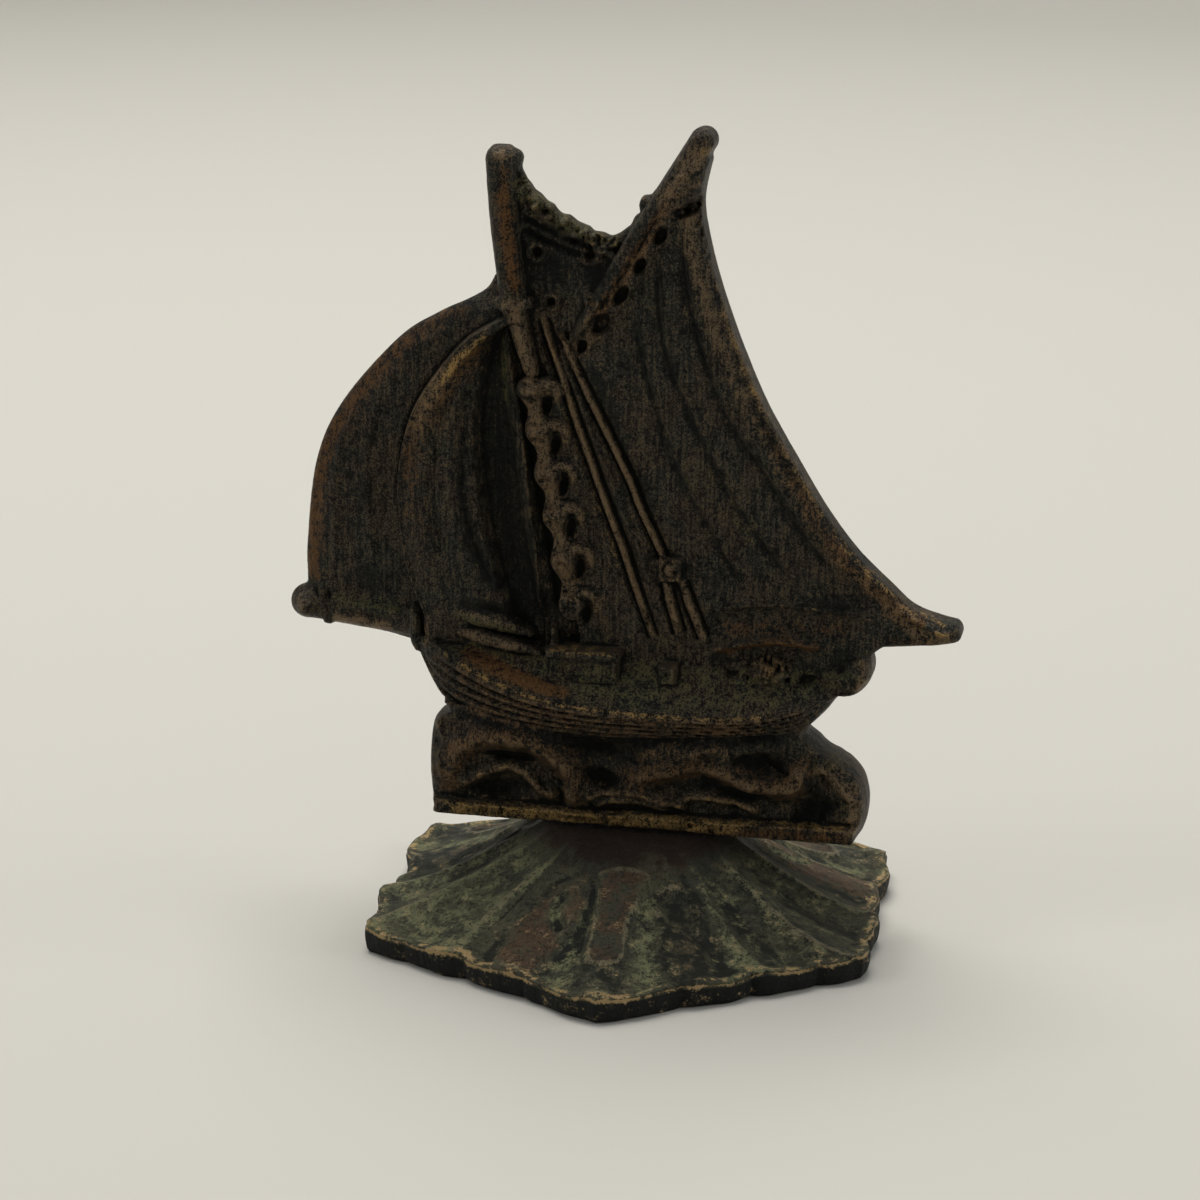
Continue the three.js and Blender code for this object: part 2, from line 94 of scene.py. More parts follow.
# %% Expressions for shaders
class Wire:
    """A value in a shader: a socket or a number. Arithmetic on wires adds the Math nodes that do it."""

    tree = None

    def __init__(self, socket):
        self.socket = socket

    @staticmethod
    def node(kind, settings=None, inputs=None, output=0):
        """Adds one node: its settings first, then a value or a wire for each socket named or numbered."""
        made = Wire.tree.nodes.new(kind)
        for name, value in (settings or {}).items():
            setattr(made, name, value)
        for name, value in (inputs or {}).items():
            if isinstance(value, Wire):
                Wire.tree.links.new(value.socket, made.inputs[name])
            else:
                made.inputs[name].default_value = value
        return Wire(made.outputs[output])

    @staticmethod
    def math(operation, first, second, clamp=False):
        """One Math node on two values, held between 0 and 1 where clamp is set."""
        settings = {"operation": operation, "use_clamp": clamp}
        return Wire.node("ShaderNodeMath", settings, {0: first, 1: second})

    def __add__(self, other):
        return Wire.math("ADD", self, other)

    def __sub__(self, other):
        return Wire.math("SUBTRACT", self, other)

    def __rsub__(self, other):
        return Wire.math("SUBTRACT", other, self)

    def __mul__(self, other):
        return Wire.math("MULTIPLY", self, other)

    __radd__ = __add__
    __rmul__ = __mul__

    def clip(self):
        """The value held between 0 and 1."""
        return Wire.math("ADD", self, 0.0, clamp=True)

    def span(self, low, high):
        """0 at low, 1 at high and smooth between them; low may be the larger, which turns it round."""
        settings = {"interpolation_type": "SMOOTHSTEP"}
        return Wire.node("ShaderNodeMapRange", settings, {0: self, 1: low, 2: high})


def blend(share, first, second):
    """The first colour where share is 0, the second where it is 1."""
    colours = [value if isinstance(value, Wire) else (*value, 1) for value in (first, second)]
    settings = {"data_type": "RGBA"}
    return Wire.node("ShaderNodeMix", settings, {0: share, 6: colours[0], 7: colours[1]}, output=2)


def attribute(name):
    """A number stored on the mesh, one for each vertex."""
    return Wire.node("ShaderNodeAttribute", {"attribute_name": name}, output=2)


def stretched(scale=(1, 1, 1), turn=(0, 0, 0)):
    """Object coordinates, in millimetres, stretched and turned."""
    place = Wire.node("ShaderNodeTexCoord", output=3)
    scales = tuple(value / MM for value in scale)
    return Wire.node("ShaderNodeMapping", None, {"Vector": place, "Rotation": turn, "Scale": scales})


def noise(scale, detail, rough, where=None):
    """Cloudy noise about 0.5. Scale is in clouds for each millimetre."""
    inputs = {"Vector": where or stretched(), "Scale": scale, "Detail": detail, "Roughness": rough}
    return Wire.node("ShaderNodeTexNoise", None, inputs)


def new_material(name):
    """An empty material with a Principled surface, and Wire pointed at its tree."""
    material = bpy.data.materials.new(name)
    material.use_nodes = True
    Wire.tree = material.node_tree
    Wire.tree.nodes.clear()
    surface = Wire.tree.nodes.new("ShaderNodeBsdfPrincipled")
    output = Wire.tree.nodes.new("ShaderNodeOutputMaterial")
    Wire.tree.links.new(surface.outputs[0], output.inputs[0])
    return material, surface


def plug(surface, **wires):
    """Links wires, or sets numbers, on sockets of the Principled surface. An underscore is a space."""
    for name, value in wires.items():
        socket = surface.inputs[name.replace("_", " ")]
        if isinstance(value, Wire):
            Wire.tree.links.new(value.socket, socket)
        else:
            socket.default_value = value


print("shader expressions ready")

# %% [markdown]
# The floor is one pale sheet that curves up far behind, like a roll of studio paper, so there is no
# horizon line. Its height along the way back is flat, then a quarter circle, then upright. A plane and a
# wall would meet in a line, which the eye follows instead of the ornament.

# %% Floor
FLOOR_HALF_WIDTH = 12.0  # this and the next four in metres
FLOOR_NEAR, FLOOR_BEND, BEND_RADIUS, BACKDROP_TOP = -12.0, 0.9, 0.5, 2.0
PAPER_COLOUR = (0.585, 0.57, 0.52, 1)


def paper_roll():
    """A sheet swept sideways along a path of flat floor, a quarter circle, and an upright back."""
    turn = np.linspace(0, np.pi / 2, 17)
    y = np.concatenate([[FLOOR_NEAR], FLOOR_BEND + BEND_RADIUS * np.sin(turn), [FLOOR_BEND + BEND_RADIUS]])
    z = np.concatenate([[0], BEND_RADIUS * (1 - np.cos(turn)), [BACKDROP_TOP]])
    x = np.array([-FLOOR_HALF_WIDTH, FLOOR_HALF_WIDTH])
    points = np.stack([np.repeat(x, y.size), np.tile(y, 2), np.tile(z, 2)], axis=1)
    first = np.arange(y.size - 1)
    faces = np.stack([first, first + y.size, first + y.size + 1, first + 1], axis=1)
    mesh = bpy.data.meshes.new("paper_roll")
    mesh.from_pydata(points.tolist(), [], faces.tolist())
    mesh.shade_smooth()
    sheet = bpy.data.objects.new("paper_roll", mesh)
    bpy.context.scene.collection.objects.link(sheet)
    material, surface = new_material("studio_paper")
    plug(surface, Base_Color=PAPER_COLOUR, Roughness=0.75, Specular_IOR_Level=0.25)
    mesh.materials.append(material)


paper_roll()
print("floor", FLOOR_HALF_WIDTH * 2, "m wide")

# %% [markdown]
# Old bronze shows its relief in soft light: one broad lamp overhead, a weaker one from each side, and a
# pale grey world, so the rounded edges catch long soft glints and the hollows stay nearly black.

# %% Lamps
LIT_HEIGHT = 0.04  # the lamps face this height above the floor, in metres
WORLD_COLOUR, WORLD_STRENGTH = (0.95, 0.97, 1.0, 1), 0.24


def soft_lamp(name, place, size, power, colour=(1, 1, 1)):
    """A square area lamp at a place in metres, turned to face the ornament."""
    data = bpy.data.lights.new(name, "AREA")
    data.shape, data.size, data.energy, data.color = "SQUARE", size, power, colour
    lamp = bpy.data.objects.new(name, data)
    bpy.context.scene.collection.objects.link(lamp)
    distance = math.dist(place, (0, 0, LIT_HEIGHT))
    tilt = math.acos((place[2] - LIT_HEIGHT) / distance)
    lamp.location = place
    lamp.rotation_euler = (tilt, 0, math.atan2(place[0], -place[1]))


soft_lamp("overhead", (-0.2, 0.34, 1.08), 0.85, 13.0, (1, 0.98, 0.94))
soft_lamp("left", (-1.0, -0.45, 0.7), 0.4, 2.0)
soft_lamp("right", (1.0, 0.1, 0.5), 0.5, 2.4)

world = bpy.data.worlds.new("studio")
world.use_nodes = True
world.node_tree.nodes["Background"].inputs["Color"].default_value = WORLD_COLOUR
world.node_tree.nodes["Background"].inputs["Strength"].default_value = WORLD_STRENGTH
bpy.context.scene.world = world
bpy.context.scene.view_settings.view_transform = "Standard"
print("three lamps and a pale world")

# %% [markdown]
# ## Drawing the boat as a relief
# The boat came out of a two-part sand mould, so nothing on it overhangs its middle plane: its whole
# shape is an outline and two depths, one towards the shown side and one towards the hidden side. It
# could be put together from separate spars, sails and planks, but a casting has soft joins between
# them. Drawing every form as a depth on one sheet of graph paper gives those joins for nothing, the way
# a die sinker works, and a skin wrapped around the sheet afterwards has no open edge.

# %% Graph paper on the middle plane
STEP = 0.2  # mm between lines of the paper
MARGIN = 0.6  # mm of empty paper around the boat
NOWHERE = -9  # a depth far behind the plane, where a form is not
xs = np.arange(boat_low[0] - MARGIN, boat_high[0] + MARGIN, STEP)
zs = np.arange(boat_low[2] - MARGIN, boat_high[2] + MARGIN, STEP)
X, Z = (sheet.astype(np.float32) for sheet in np.meshgrid(xs, zs, indexing="ij"))
BOTTOM = boat_low[2]  # flat underside of the wave block
print("paper of", X.shape, "crossings")

# %% [markdown]
# Every form on the sheet is a curve through a few points, and what matters at a crossing is how far it
# is from that curve, how far along, and on which side. Those three numbers and a few smooth steps are
# enough for bars, ridges, cuts and spots.

# %% Curves, steps and distances
def spline(points, steps=8):
    """A smooth path through the points: on each stretch, the cubic whose slopes follow its neighbours."""
    points = np.array(points, float)
    ends = np.vstack([2 * points[0] - points[1], points, 2 * points[-1] - points[-2]])
    a, b, c, d = ends[:-3, None], ends[1:-2, None], ends[2:-1, None], ends[3:, None]
    t = (np.arange(steps) / steps)[None, :, None]
    bends = 0.5 * (2 * b + (c - a) * t + (2 * a - 5 * b + 4 * c - d) * t**2 + (3 * b - a - 3 * c + d) * t**3)
    return np.vstack([bends.reshape(-1, points.shape[1]), points[-1:]])


def smooth(value, low=0.0, high=1.0):
    """0 below low, 1 above high, and 3t² − 2t³ between them."""
    t = np.clip((value - low) / (high - low), 0, 1)
    return t * t * (3 - 2 * t)


def soft_max(first, second, width=0.3):
    """The larger of two depths, with a fillet of about that width where they cross."""
    gap = np.maximum(width - np.abs(first - second), 0) / width
    return np.maximum(first, second) + gap * gap * width / 4


def hump(distance, width):
    """A bell curve: 1 on the line, falling to a third at width."""
    return np.exp(-((distance / width) ** 2))


def nearest(path, px, pz):
    """Distance from each place to a path, the share of the path passed there, and the side it lies on.

    On each straight stretch the nearest point is the projection, held between the stretch's ends.
    """
    near = np.full(px.shape, 1e6, np.float32)
    share, side = np.zeros_like(near), np.zeros_like(near)
    for k, ((ax, az), (bx, bz)) in enumerate(zip(path[:-1], path[1:])):
        dx, dz = bx - ax, bz - az
        t = np.clip(((px - ax) * dx + (pz - az) * dz) / (dx * dx + dz * dz + 1e-9), 0, 1)
        away = np.hypot(px - ax - t * dx, pz - az - t * dz)
        closer = away < near
        near = np.where(closer, away, near)
        share = np.where(closer, (k + t) / (len(path) - 1), share)
        side = np.where(closer, np.sign(dx * (pz - az) - dz * (px - ax)), side)
    return near, share, side


def along(path, reach):
    """The window of the paper within reach of a path, and there the distance, share and side."""
    low, high = path.min(axis=0) - reach, path.max(axis=0) + reach
    i = np.clip(np.searchsorted(xs, [low[0], high[0]]), 0, xs.size)
    j = np.clip(np.searchsorted(zs, [low[1], high[1]]), 0, zs.size)
    window = (slice(*i), slice(*j))
    return window, *nearest(path, X[window], Z[window])


def inside(corners, px=X, pz=Z):
    """Distance to a closed outline, positive within it: a crossing count gives the sign."""
    corners = np.asarray(corners, float)
    near, _, _ = nearest(np.vstack([corners, corners[:1]]), px, pz)
    within = np.zeros(px.shape, bool)
    for (ax, az), (bx, bz) in zip(corners, np.roll(corners, -1, axis=0)):
        if az != bz:
            within ^= ((az > pz) != (bz > pz)) & (px < (bx - ax) * (pz - az) / (bz - az) + ax)
    return np.where(within, near, -near)


def shared(share, values):
    """A value that changes evenly along a path, from the first of values to the last."""
    return np.interp(share, np.linspace(0, 1, len(values)), values)


def faded(share, ends):
    """1 along a path, falling smoothly to 0 over that share of it at each end."""
    return smooth(share, 0, ends) * smooth(1 - share, 0, ends) if ends else 1.0


def moved(points, dx, dz):
    """The same curve a little to one side."""
    return [(x + dx, z + dz) for x, z in points]


print("distances ready")

# %% Tools that shape a depth map
def add_bar(depth, points, radius, lift, flat=2.0):
    """Lays a bar on a map: lift plus the arc of its section, a circle or, for a larger flat, squarer."""
    path = spline(points)
    window, near, share, _ = along(path, max(radius) + 0.6)
    r = shared(share, radius)
    across = np.clip(near / r, 0, 1)
    height = shared(share, lift) + r * (1 - across**flat) ** (1 / flat)
    height = np.where(near < r, height, NOWHERE)
    depth[window] = soft_max(depth[window], height, 0.25)


def add_ridge(depth, points, width, height, ends=0.08, path=None):
    """Raises (or, with a height below zero, cuts) a bell-shaped line, faded out at both ends."""
    path = spline(points) if path is None else path
    window, near, share, _ = along(path, 3 * width)
    depth[window] += height * hump(near, width) * faded(share, ends)


def add_crest(depth, points, outer, inner, height, ends=0.12):
    """A wave's crest: a raised line that falls away slowly on its left and steeply on its right."""
    window, near, share, side = along(spline(points), 3 * max(outer, inner))
    fall = hump(near, np.where(side > 0, outer, inner)) ** np.where(side > 0, 1.0, 1.4)
    depth[window] += shared(share, height) * fall * faded(share, ends)


def window_between(low, high):
    """The part of the paper between two corners."""
    i = np.searchsorted(xs, [low[0], high[0]])
    j = np.searchsorted(zs, [low[1], high[1]])
    return slice(*i), slice(*j)


def add_block(depth, low, high, top, edge=0.25, round_off=0.3):
    """A box standing on the map between two corners, its edges rounded off by a little."""
    window = window_between(np.subtract(low, 1), np.add(high, 1))
    px, pz = X[window], Z[window]
    within = np.minimum(np.minimum(px - low[0], high[0] - px), np.minimum(pz - low[1], high[1] - pz))
    box = np.where(within > 0, top - round_off * (1 - smooth(within, 0, edge)), NOWHERE)
    depth[window] = np.maximum(depth[window], box)


def add_spot(depth, centre, size, height, turn=0.0, edge=0.5):
    """Raises or sinks an oval spot: flat to `edge` of its size, then smoothly down to nothing."""
    size = np.broadcast_to(size, 2)
    reach = 1.3 * size.max()
    window = window_between(np.subtract(centre, reach), np.add(centre, reach))
    dx, dz = X[window] - centre[0], Z[window] - centre[1]
    c, s = math.cos(math.radians(turn)), math.sin(math.radians(turn))
    away = np.hypot((c * dx + s * dz) / size[0], (c * dz - s * dx) / size[1])
    depth[window] += height * (1 - smooth(away, edge, 1.15))


def grain(step, seed):
    """Smooth seeded noise between about −1 and 1, one random value every `step` mm, blended evenly."""
    rng = np.random.default_rng(seed)
    u, v = (X - xs[0]) / step, (Z - zs[0]) / step
    knots = rng.uniform(-1, 1, (int(u.max()) + 2, int(v.max()) + 2))
    i, j = u.astype(int), v.astype(int)
    s, t = smooth(u - i), smooth(v - j)
    low = knots[i, j] * (1 - s) + knots[i + 1, j] * s
    high = knots[i, j + 1] * (1 - s) + knots[i + 1, j + 1] * s
    return low * (1 - t) + high * t


print("relief tools ready")

# %% [markdown]
# ### Sails
# The jib and the staysail fill the space before the mast, the topsail hangs in the notch between mast
# and gaff, and the mainsail sweeps aft to the tip of the boom. Each edge is a curve in the middle plane.
# At any height the two headsails are read from left to right as a row of knots, each with its own depth,
# so the staysail swells forward, turns over at its leech and dives into the deep fold beside the mast.

# %% Edges of the sails
MAST = [(-13.05, 85.9), (-12.55, 79), (-11.6, 71.5), (-8.9, 60), (-5.8, 42), (-3.8, 31)]
GAFF = [(9.0, 88.55), (3.9, 80.6), (0.1, 74.4), (-3.2, 68.7), (-6.5, 63.5)]
LEECH = [(9.9, 86.6), (9.1, 82), (10.0, 76.8), (11.6, 71.4), (13.9, 65.3), (16.4, 59.8), (19.6, 54.3),
         (23, 48.8), (26.4, 44.4), (30.4, 40.6), (32.7, 38.6), (35.5, 37.5), (37.4, 36.9)]
BOOM_UNDERSIDE = [(37.8, 35.6), (35.8, 34.9), (33, 34.5), (29.7, 34.1)]
NOTCH = [(-11.9, 86.4), (-11.1, 85.5), (-10.7, 84.4), (-9.8, 82.8), (-8.1, 81.5), (-5.9, 80), (-3.7, 78.9),
         (-1.5, 78.1), (0.2, 78.1)]
JIB_LUFF = [(-36.2, 37.5), (-36.1, 42), (-34.8, 51.3), (-31.6, 58.2), (-25, 65.7), (-20.3, 68.8),
            (-17, 70.4), (-14.9, 71.7), (-13.9, 73.3)]

jib_outline = np.vstack([spline(JIB_LUFF), [(-11, 71), (-6, 42), (-4, 30), (-24.4, 31), (-36.2, 35.4)]])
main_outline = np.vstack([spline(NOTCH), [(8.6, 88)], spline(LEECH), spline(BOOM_UNDERSIDE),
                          [(24.6, 30), (-4, 29), (-6.5, 42), (-11.9, 71)]])
jib_inside, main_inside = inside(jib_outline), inside(main_outline)
print("jib", round(float((jib_inside > 0).sum() * STEP**2)), "mm², mainsail",
      round(float((main_inside > 0).sum() * STEP**2)), "mm²")


def at_height(points):
    """The x of a curve at the height of each crossing of the paper."""
    path = spline(points)
    order = np.argsort(path[:, 1])
    return np.interp(zs, path[order, 1], path[order, 0])[None, :].astype(np.float32)


def read_across(knots):
    """Depth from left to right: each knot is a place and a depth, joined by smooth half waves."""
    depth = np.broadcast_to(knots[0][1], X.shape).astype(np.float32)
    reached = knots[0][0]
    for (_, d0), (x1, d1) in zip(knots[:-1], knots[1:]):
        ahead = np.maximum(x1, reached + 0.1)
        depth = depth + (d1 - d0) * smooth(X, reached, ahead)
        reached = ahead
    return depth


# %% Depth of the headsails
STAY_LEECH = [(-21.6, 34.2), (-23.1, 38.5), (-24.1, 43.2), (-24.5, 49), (-24, 53.7), (-22.6, 58.3),
              (-20, 62.4), (-16.5, 66.4), (-12.4, 69)]
FOLD = [(-9.8, 35), (-11.0, 38.5), (-12.4, 44), (-13.3, 50.2), (-14.0, 58), (-13.9, 64.5), (-12.8, 69)]
STAY_LUFF = [(-8.8, 35), (-9.0, 41), (-9.6, 46), (-10.4, 53.9), (-11.3, 60.1), (-12.0, 64.3), (-12.4, 69)]
x_leech, x_fold, x_luff = (at_height(points) for points in (STAY_LEECH, FOLD, STAY_LUFF))
x_mast = at_height(MAST)
swell = (smooth(zs, 32, 42) * (1 - 0.6 * smooth(zs, 56, 69)))[None, :]
fold_reach = 0.3 + 1.5 * smooth(-zs, -66, -54)[None, :]  # half the width of the deep fold's floor

jib_depth = 0.75 + 0.75 * smooth(jib_inside, 0.2, 2.6) - 0.35 * smooth(X, x_leech - 5.5, x_leech - 0.5)
staysail = read_across([
    (x_leech - 0.4, 0.0), (x_leech + 0.15, 1.5 + 0.8 * swell), (x_leech + 1.8, 1.55 + 1.05 * swell),
    (0.5 * (x_leech + x_fold), 1.2 + 0.85 * swell), (x_fold - fold_reach - 0.9, 0.75 + 0.5 * swell),
    (x_fold - fold_reach + 0.3, -0.75), (x_fold + fold_reach - 0.3, -0.8), (x_luff - 0.35, 0.3),
    (x_luff, 0.95), (x_luff + 0.5, 0.1), (x_luff + 1.4, 0.15),
])
head_depth = jib_depth + staysail
print("headsails from", round(float(head_depth[jib_inside > 1].min()), 2), "to",
      round(float(head_depth[jib_inside > 1].max()), 2), "mm deep")

# %% Depth of the topsail and the mainsail
x_gaff = at_height(GAFF)
x_sail_leech = at_height(LEECH)
behind_gaff = smooth(X - x_gaff, -1.2, 0.6)
hollow = 0.35 * hump(X - x_mast - 9.5, 4.0) * smooth(Z, 36, 44)
band = smooth(X - x_sail_leech, -3.6, -2.4)
sail_depth = 1.75 - hollow + 0.25 * band + 0.35 * smooth(Z, 60, 84)
GAFF_FOOT = 62  # above this height the topsail lies before the gaff
main_depth = np.where(Z > GAFF_FOOT, 1.05 + (sail_depth - 1.05) * behind_gaff, sail_depth)
foot_of_sail = smooth(Z, 40.5, 36.5)
main_depth = main_depth - 0.35 * hump(Z - 39.4, 1.2) * smooth(X, 8, 20) + 0.2 * foot_of_sail
front = np.where(X < x_mast, head_depth, main_depth)
print("mainsail up to", round(float(main_depth[main_inside > 1].max()), 2), "mm deep")

# %% [markdown]
# Each cloth seam is a shallow groove with a small ridge beside it, which is how two overlapped strips of
# canvas read in a casting. Creases and folds are plain grooves, cut deeper where the sail is gathered.

# %% Seams and creases of the sails
SEAMS = [
    [(7.0, 79.5), (7.3, 75.6), (8.3, 69.3), (11.0, 61.1), (13.7, 56.4), (16.2, 53), (19.9, 47.1), (25.0, 41)],
    [(4.6, 76.5), (4.6, 70), (5.8, 64.1), (9.9, 55), (12.6, 50), (16, 45.3), (19.7, 40.5)],
    [(1.6, 70), (3.2, 63), (5.6, 55.1), (8.3, 49.7), (11.4, 44.2), (13.8, 40.5)],
    [(10.2, 75), (11.6, 69.7), (14.6, 62), (17.5, 56), (22.4, 48.8), (28.4, 42)],
]
CREASES = [
    [(-10.6, 79.9), (-8.1, 78.6), (-4.8, 77.2), (-2.2, 76.6)],
    [(-10.6, 78.6), (-8, 77.3), (-5, 76.2), (-3, 75.9)],
]
for seam in SEAMS:
    add_ridge(front, seam, 0.4, -0.3)
    add_ridge(front, moved(seam, 0.8, 0.2), 0.5, 0.14)
for crease in CREASES:
    add_ridge(front, crease, 0.35, -0.55)
for fold in ([(-12.9, 67.5), (-15.9, 61.5), (-17.1, 55.5), (-17.3, 48.5), (-15.8, 42.6), (-13.6, 37.8)],
             [(-13.4, 67.4), (-18.6, 60), (-20.2, 54), (-20.4, 47), (-19, 40.5)]):
    add_ridge(front, fold, 0.55, -0.4)
for pleat in ([(-26.4, 60.5), (-28.4, 53.5), (-28.5, 47.1), (-27.9, 39.6)],
              [(-29.8, 58.1), (-31.7, 52.8), (-32.5, 46.9), (-32.3, 38.8)]):
    add_ridge(front, pleat, 0.35, 0.22)
add_ridge(front, STAY_LEECH, 0.3, 0.3, ends=0.02)
add_ridge(front, moved(STAY_LEECH[2:], -0.9, 0.2), 0.28, 0.3, ends=0.05)
GOLD_HEM = [(-14.0, 67.2), (-17.0, 64.6), (-19.9, 60.9), (-21.7, 57.2)]
add_ridge(front, GOLD_HEM, 0.45, 0.14)
print(len(SEAMS), "seams in the mainsail")

# %% [markdown]
# The head of the mainsail is laced to the gaff: a flat band with a row of deep pits where the line goes
# through. The topsail has four round eyelets, each a raised ring with a sunk middle.

# %% Lacing along the gaff, eyelets in the topsail
LACING_PITS = [
    ((6.9, 81.0), (0.95, 0.6), 10), ((8.0, 81.5), (1.0, 0.75), 25), ((8.8, 82.3), (0.5, 0.8), -10),
    ((4.8, 78.5), (0.7, 1.15), -30), ((2.6, 75.2), (0.65, 1.1), -30), ((0.5, 71.9), (0.75, 1.35), -35),
    ((-1.8, 68.6), (0.95, 1.6), -35), ((-4.0, 65.9), (0.6, 0.95), -25),
]
HEAD_BAND = [(8.6, 85.5), (5.5, 81), (1.7, 74.6), (-1.7, 69.4), (-4.7, 65)]
EYELETS = [((-8.9, 76.1), 0.95), ((-3.0, 75.9), 0.9), ((-7.4, 70.7), 0.85), ((-2.7, 71.0), 0.75)]
add_bar(front, HEAD_BAND, [1.6, 1.55, 1.45, 1.35, 0.9], [1.1, 1.2, 1.15, 0.9, 0.5], flat=4)
for centre, radius in EYELETS:
    add_spot(front, centre, radius * 1.3, 0.55, edge=0.8)
    add_spot(front, centre, radius * 0.75, -1.05, edge=0.35)

# %% [markdown]
# ### Spars and ropes
# Mast, gaff, boom and bowsprit are round bars half sunk in the sails. The bar's section is an arc of a
# circle raised on the map by its lift. The ropes are thin bars with a cut on each side, and the lacing
# of the mainsail's luff is a chain of soft knots, each with an arm that reaches the nearest rope.

# %% Rough head of the topsail
rng = np.random.default_rng(14)
head_path = spline(NOTCH)
for x, z in head_path[rng.integers(8, len(head_path), 90)]:
    place = (x + rng.uniform(-0.4, 0.4), z - rng.uniform(0.2, 2.2))
    add_spot(front, place, rng.uniform(0.25, 0.6), rng.choice((-0.4, 0.45)))
print("head of the topsail roughened")

# %% Spars
BOOM = [(-3, 35.6), (8, 35.9), (20, 36.2), (30, 36.2), (37.2, 36)]
BOWSPRIT = [(-35.4, 34.5), (-30, 34), (-24.4, 33.5)]
KNOB = (-36.25, 34.7)
add_bar(front, GAFF, [1.3, 1.2, 1.15, 1.1, 0.8], [1.0, 1.25, 1.25, 1.1, 0.6], flat=3)
add_ridge(front, moved(HEAD_BAND[1:], -0.5, 0.3), 0.3, -0.45)
for centre, size, turn in LACING_PITS:
    add_spot(front, centre, size, -1.4, turn, edge=0.55)
for vein in ([(5.6, 80.6), (7.6, 81.0), (9.0, 80.6)], [(5.8, 82.2), (7.2, 83.6), (9.2, 84.3)],
             [(6.6, 84.6), (8.2, 85.6), (9.4, 85.9)], [(9.2, 84.8), (9.5, 82.4), (9.4, 79.6)]):
    add_ridge(front, vein, 0.2, 0.3)
rng = np.random.default_rng(5)
for x, z in zip(np.linspace(8.8, 10.0, 9), np.linspace(81.2, 76.4, 9)):
    add_spot(front, (x + rng.uniform(-0.3, 0.2), z), (0.25, rng.uniform(0.25, 0.5)), -0.6)
add_bar(front, MAST[:3], [1.72, 1.72, 1.6], [0.6, 0.8, 1.2], flat=2.3)
add_bar(front, [(-11.7, 71.8), (-10.6, 67), (-9.6, 63.2), (-9.0, 61.0)], [1.25, 1.1, 0.85, 0.3],
        [1.6, 1.5, 1.4, 0.9], flat=2.5)
add_bar(front, [(-12.9, 70.4), (-11.6, 70.0), (-10.0, 70.6)], [0.75, 0.9, 0.75], [1.9, 2.3, 1.8])
add_bar(front, [(-12.1, 86.2), (-11.6, 85.4)], [1.0, 0.8], [0.9, 0.6])
add_bar(front, BOOM[2:], [1.3, 1.2, 1.0], [0.6, 0.9, 0.7])
add_ridge(front, [(31.8, 38.5), (34.4, 36.9), (35.7, 36.3), (37.6, 36.2)], 0.35, 0.4, ends=0.2)
add_bar(front, BOWSPRIT, [1.75, 1.85, 1.9], [0.3, 0.35, 0.4])
add_ridge(front, [(-33.4, 35.9), (-29, 35.4), (-24.6, 34.7)], 0.42, 0.55)
add_ridge(front, [(-33.4, 34.6), (-29, 34.1), (-24.8, 33.5)], 0.3, -0.35)
add_spot(front, KNOB, 2.05, 0.9, edge=0.3)
add_bar(front, [(-34.0, 36.4), (-33.5, 32.7)], [0.5, 0.5], [1.7, 1.7])
print("spars laid, boom", BOOM[-1][0] - BOOM[0][0], "mm long")

# %% Standing ropes and tackle
SHROUD = [(-8.6, 69.6), (-7.6, 66.4), (-5.9, 61.9), (-4.5, 57.6), (-2.9, 53.2), (-1.3, 48.7), (0.7, 43.5),
          (2, 39.6), (3.3, 36.1), (4.4, 33.0)]
TACKLE = [(-6.6, 67.6), (-5.3, 65.0), (-3.6, 61.4), (-1.3, 56.9), (1.2, 51.8), (2.7, 48.1), (4.5, 44.4),
          (5.3, 42.6)]
BEFORE_SHROUD = [(-9.1, 67), (-7.4, 62), (-5.9, 57.5), (-4.2, 52.5), (-2.6, 48), (-0.6, 42), (1.6, 35.6)]
BESIDE_TACKLE = [(-7.4, 67.5), (-5.2, 62.4), (-3.4, 58), (-1.0, 51.8), (0.8, 47.4), (2.9, 42.6), (4.6, 38)]
PULLEY = (6.0, 41.6)
FALLS = ([(5.5, 40.2), (6.2, 37.4), (7.2, 34.2)], [(7.2, 40.4), (8.5, 37.2), (9.9, 33.8)])


def add_rope(depth, points, radius, lift, cut=0.5):
    """A thin bar between two narrow cuts, one on each side of it."""
    path = spline(points)
    window, near, share, _ = along(path, radius + 1.2)
    fade = smooth(share, 0, 0.06) * smooth(1 - share, 0, 0.04)
    depth[window] -= cut * hump(near - radius - 0.2, 0.22) * fade
    add_bar(depth, points, [radius * 0.5, radius, radius, radius], [lift * 0.75, lift, lift, lift], flat=3)


add_ridge(front, BEFORE_SHROUD, 0.3, 0.3)
add_rope(front, SHROUD, 0.38, 1.6, cut=0.6)
add_rope(front, TACKLE, 0.36, 1.6, cut=0.6)
add_ridge(front, BESIDE_TACKLE, 0.32, 0.35)
for fall in FALLS:
    add_rope(front, fall, 0.5, 1.75, cut=0.6)
add_block(front, (4.9, 40.3), (7.5, 43.0), 2.9, edge=0.7)
add_ridge(front, [(6.9, 42.2), (5.8, 42.5), (5.4, 41.5), (6.0, 40.8), (6.8, 41.2), (6.3, 41.8)], 0.2, -0.6)
print("ropes and", len(FALLS), "falls of the tackle")

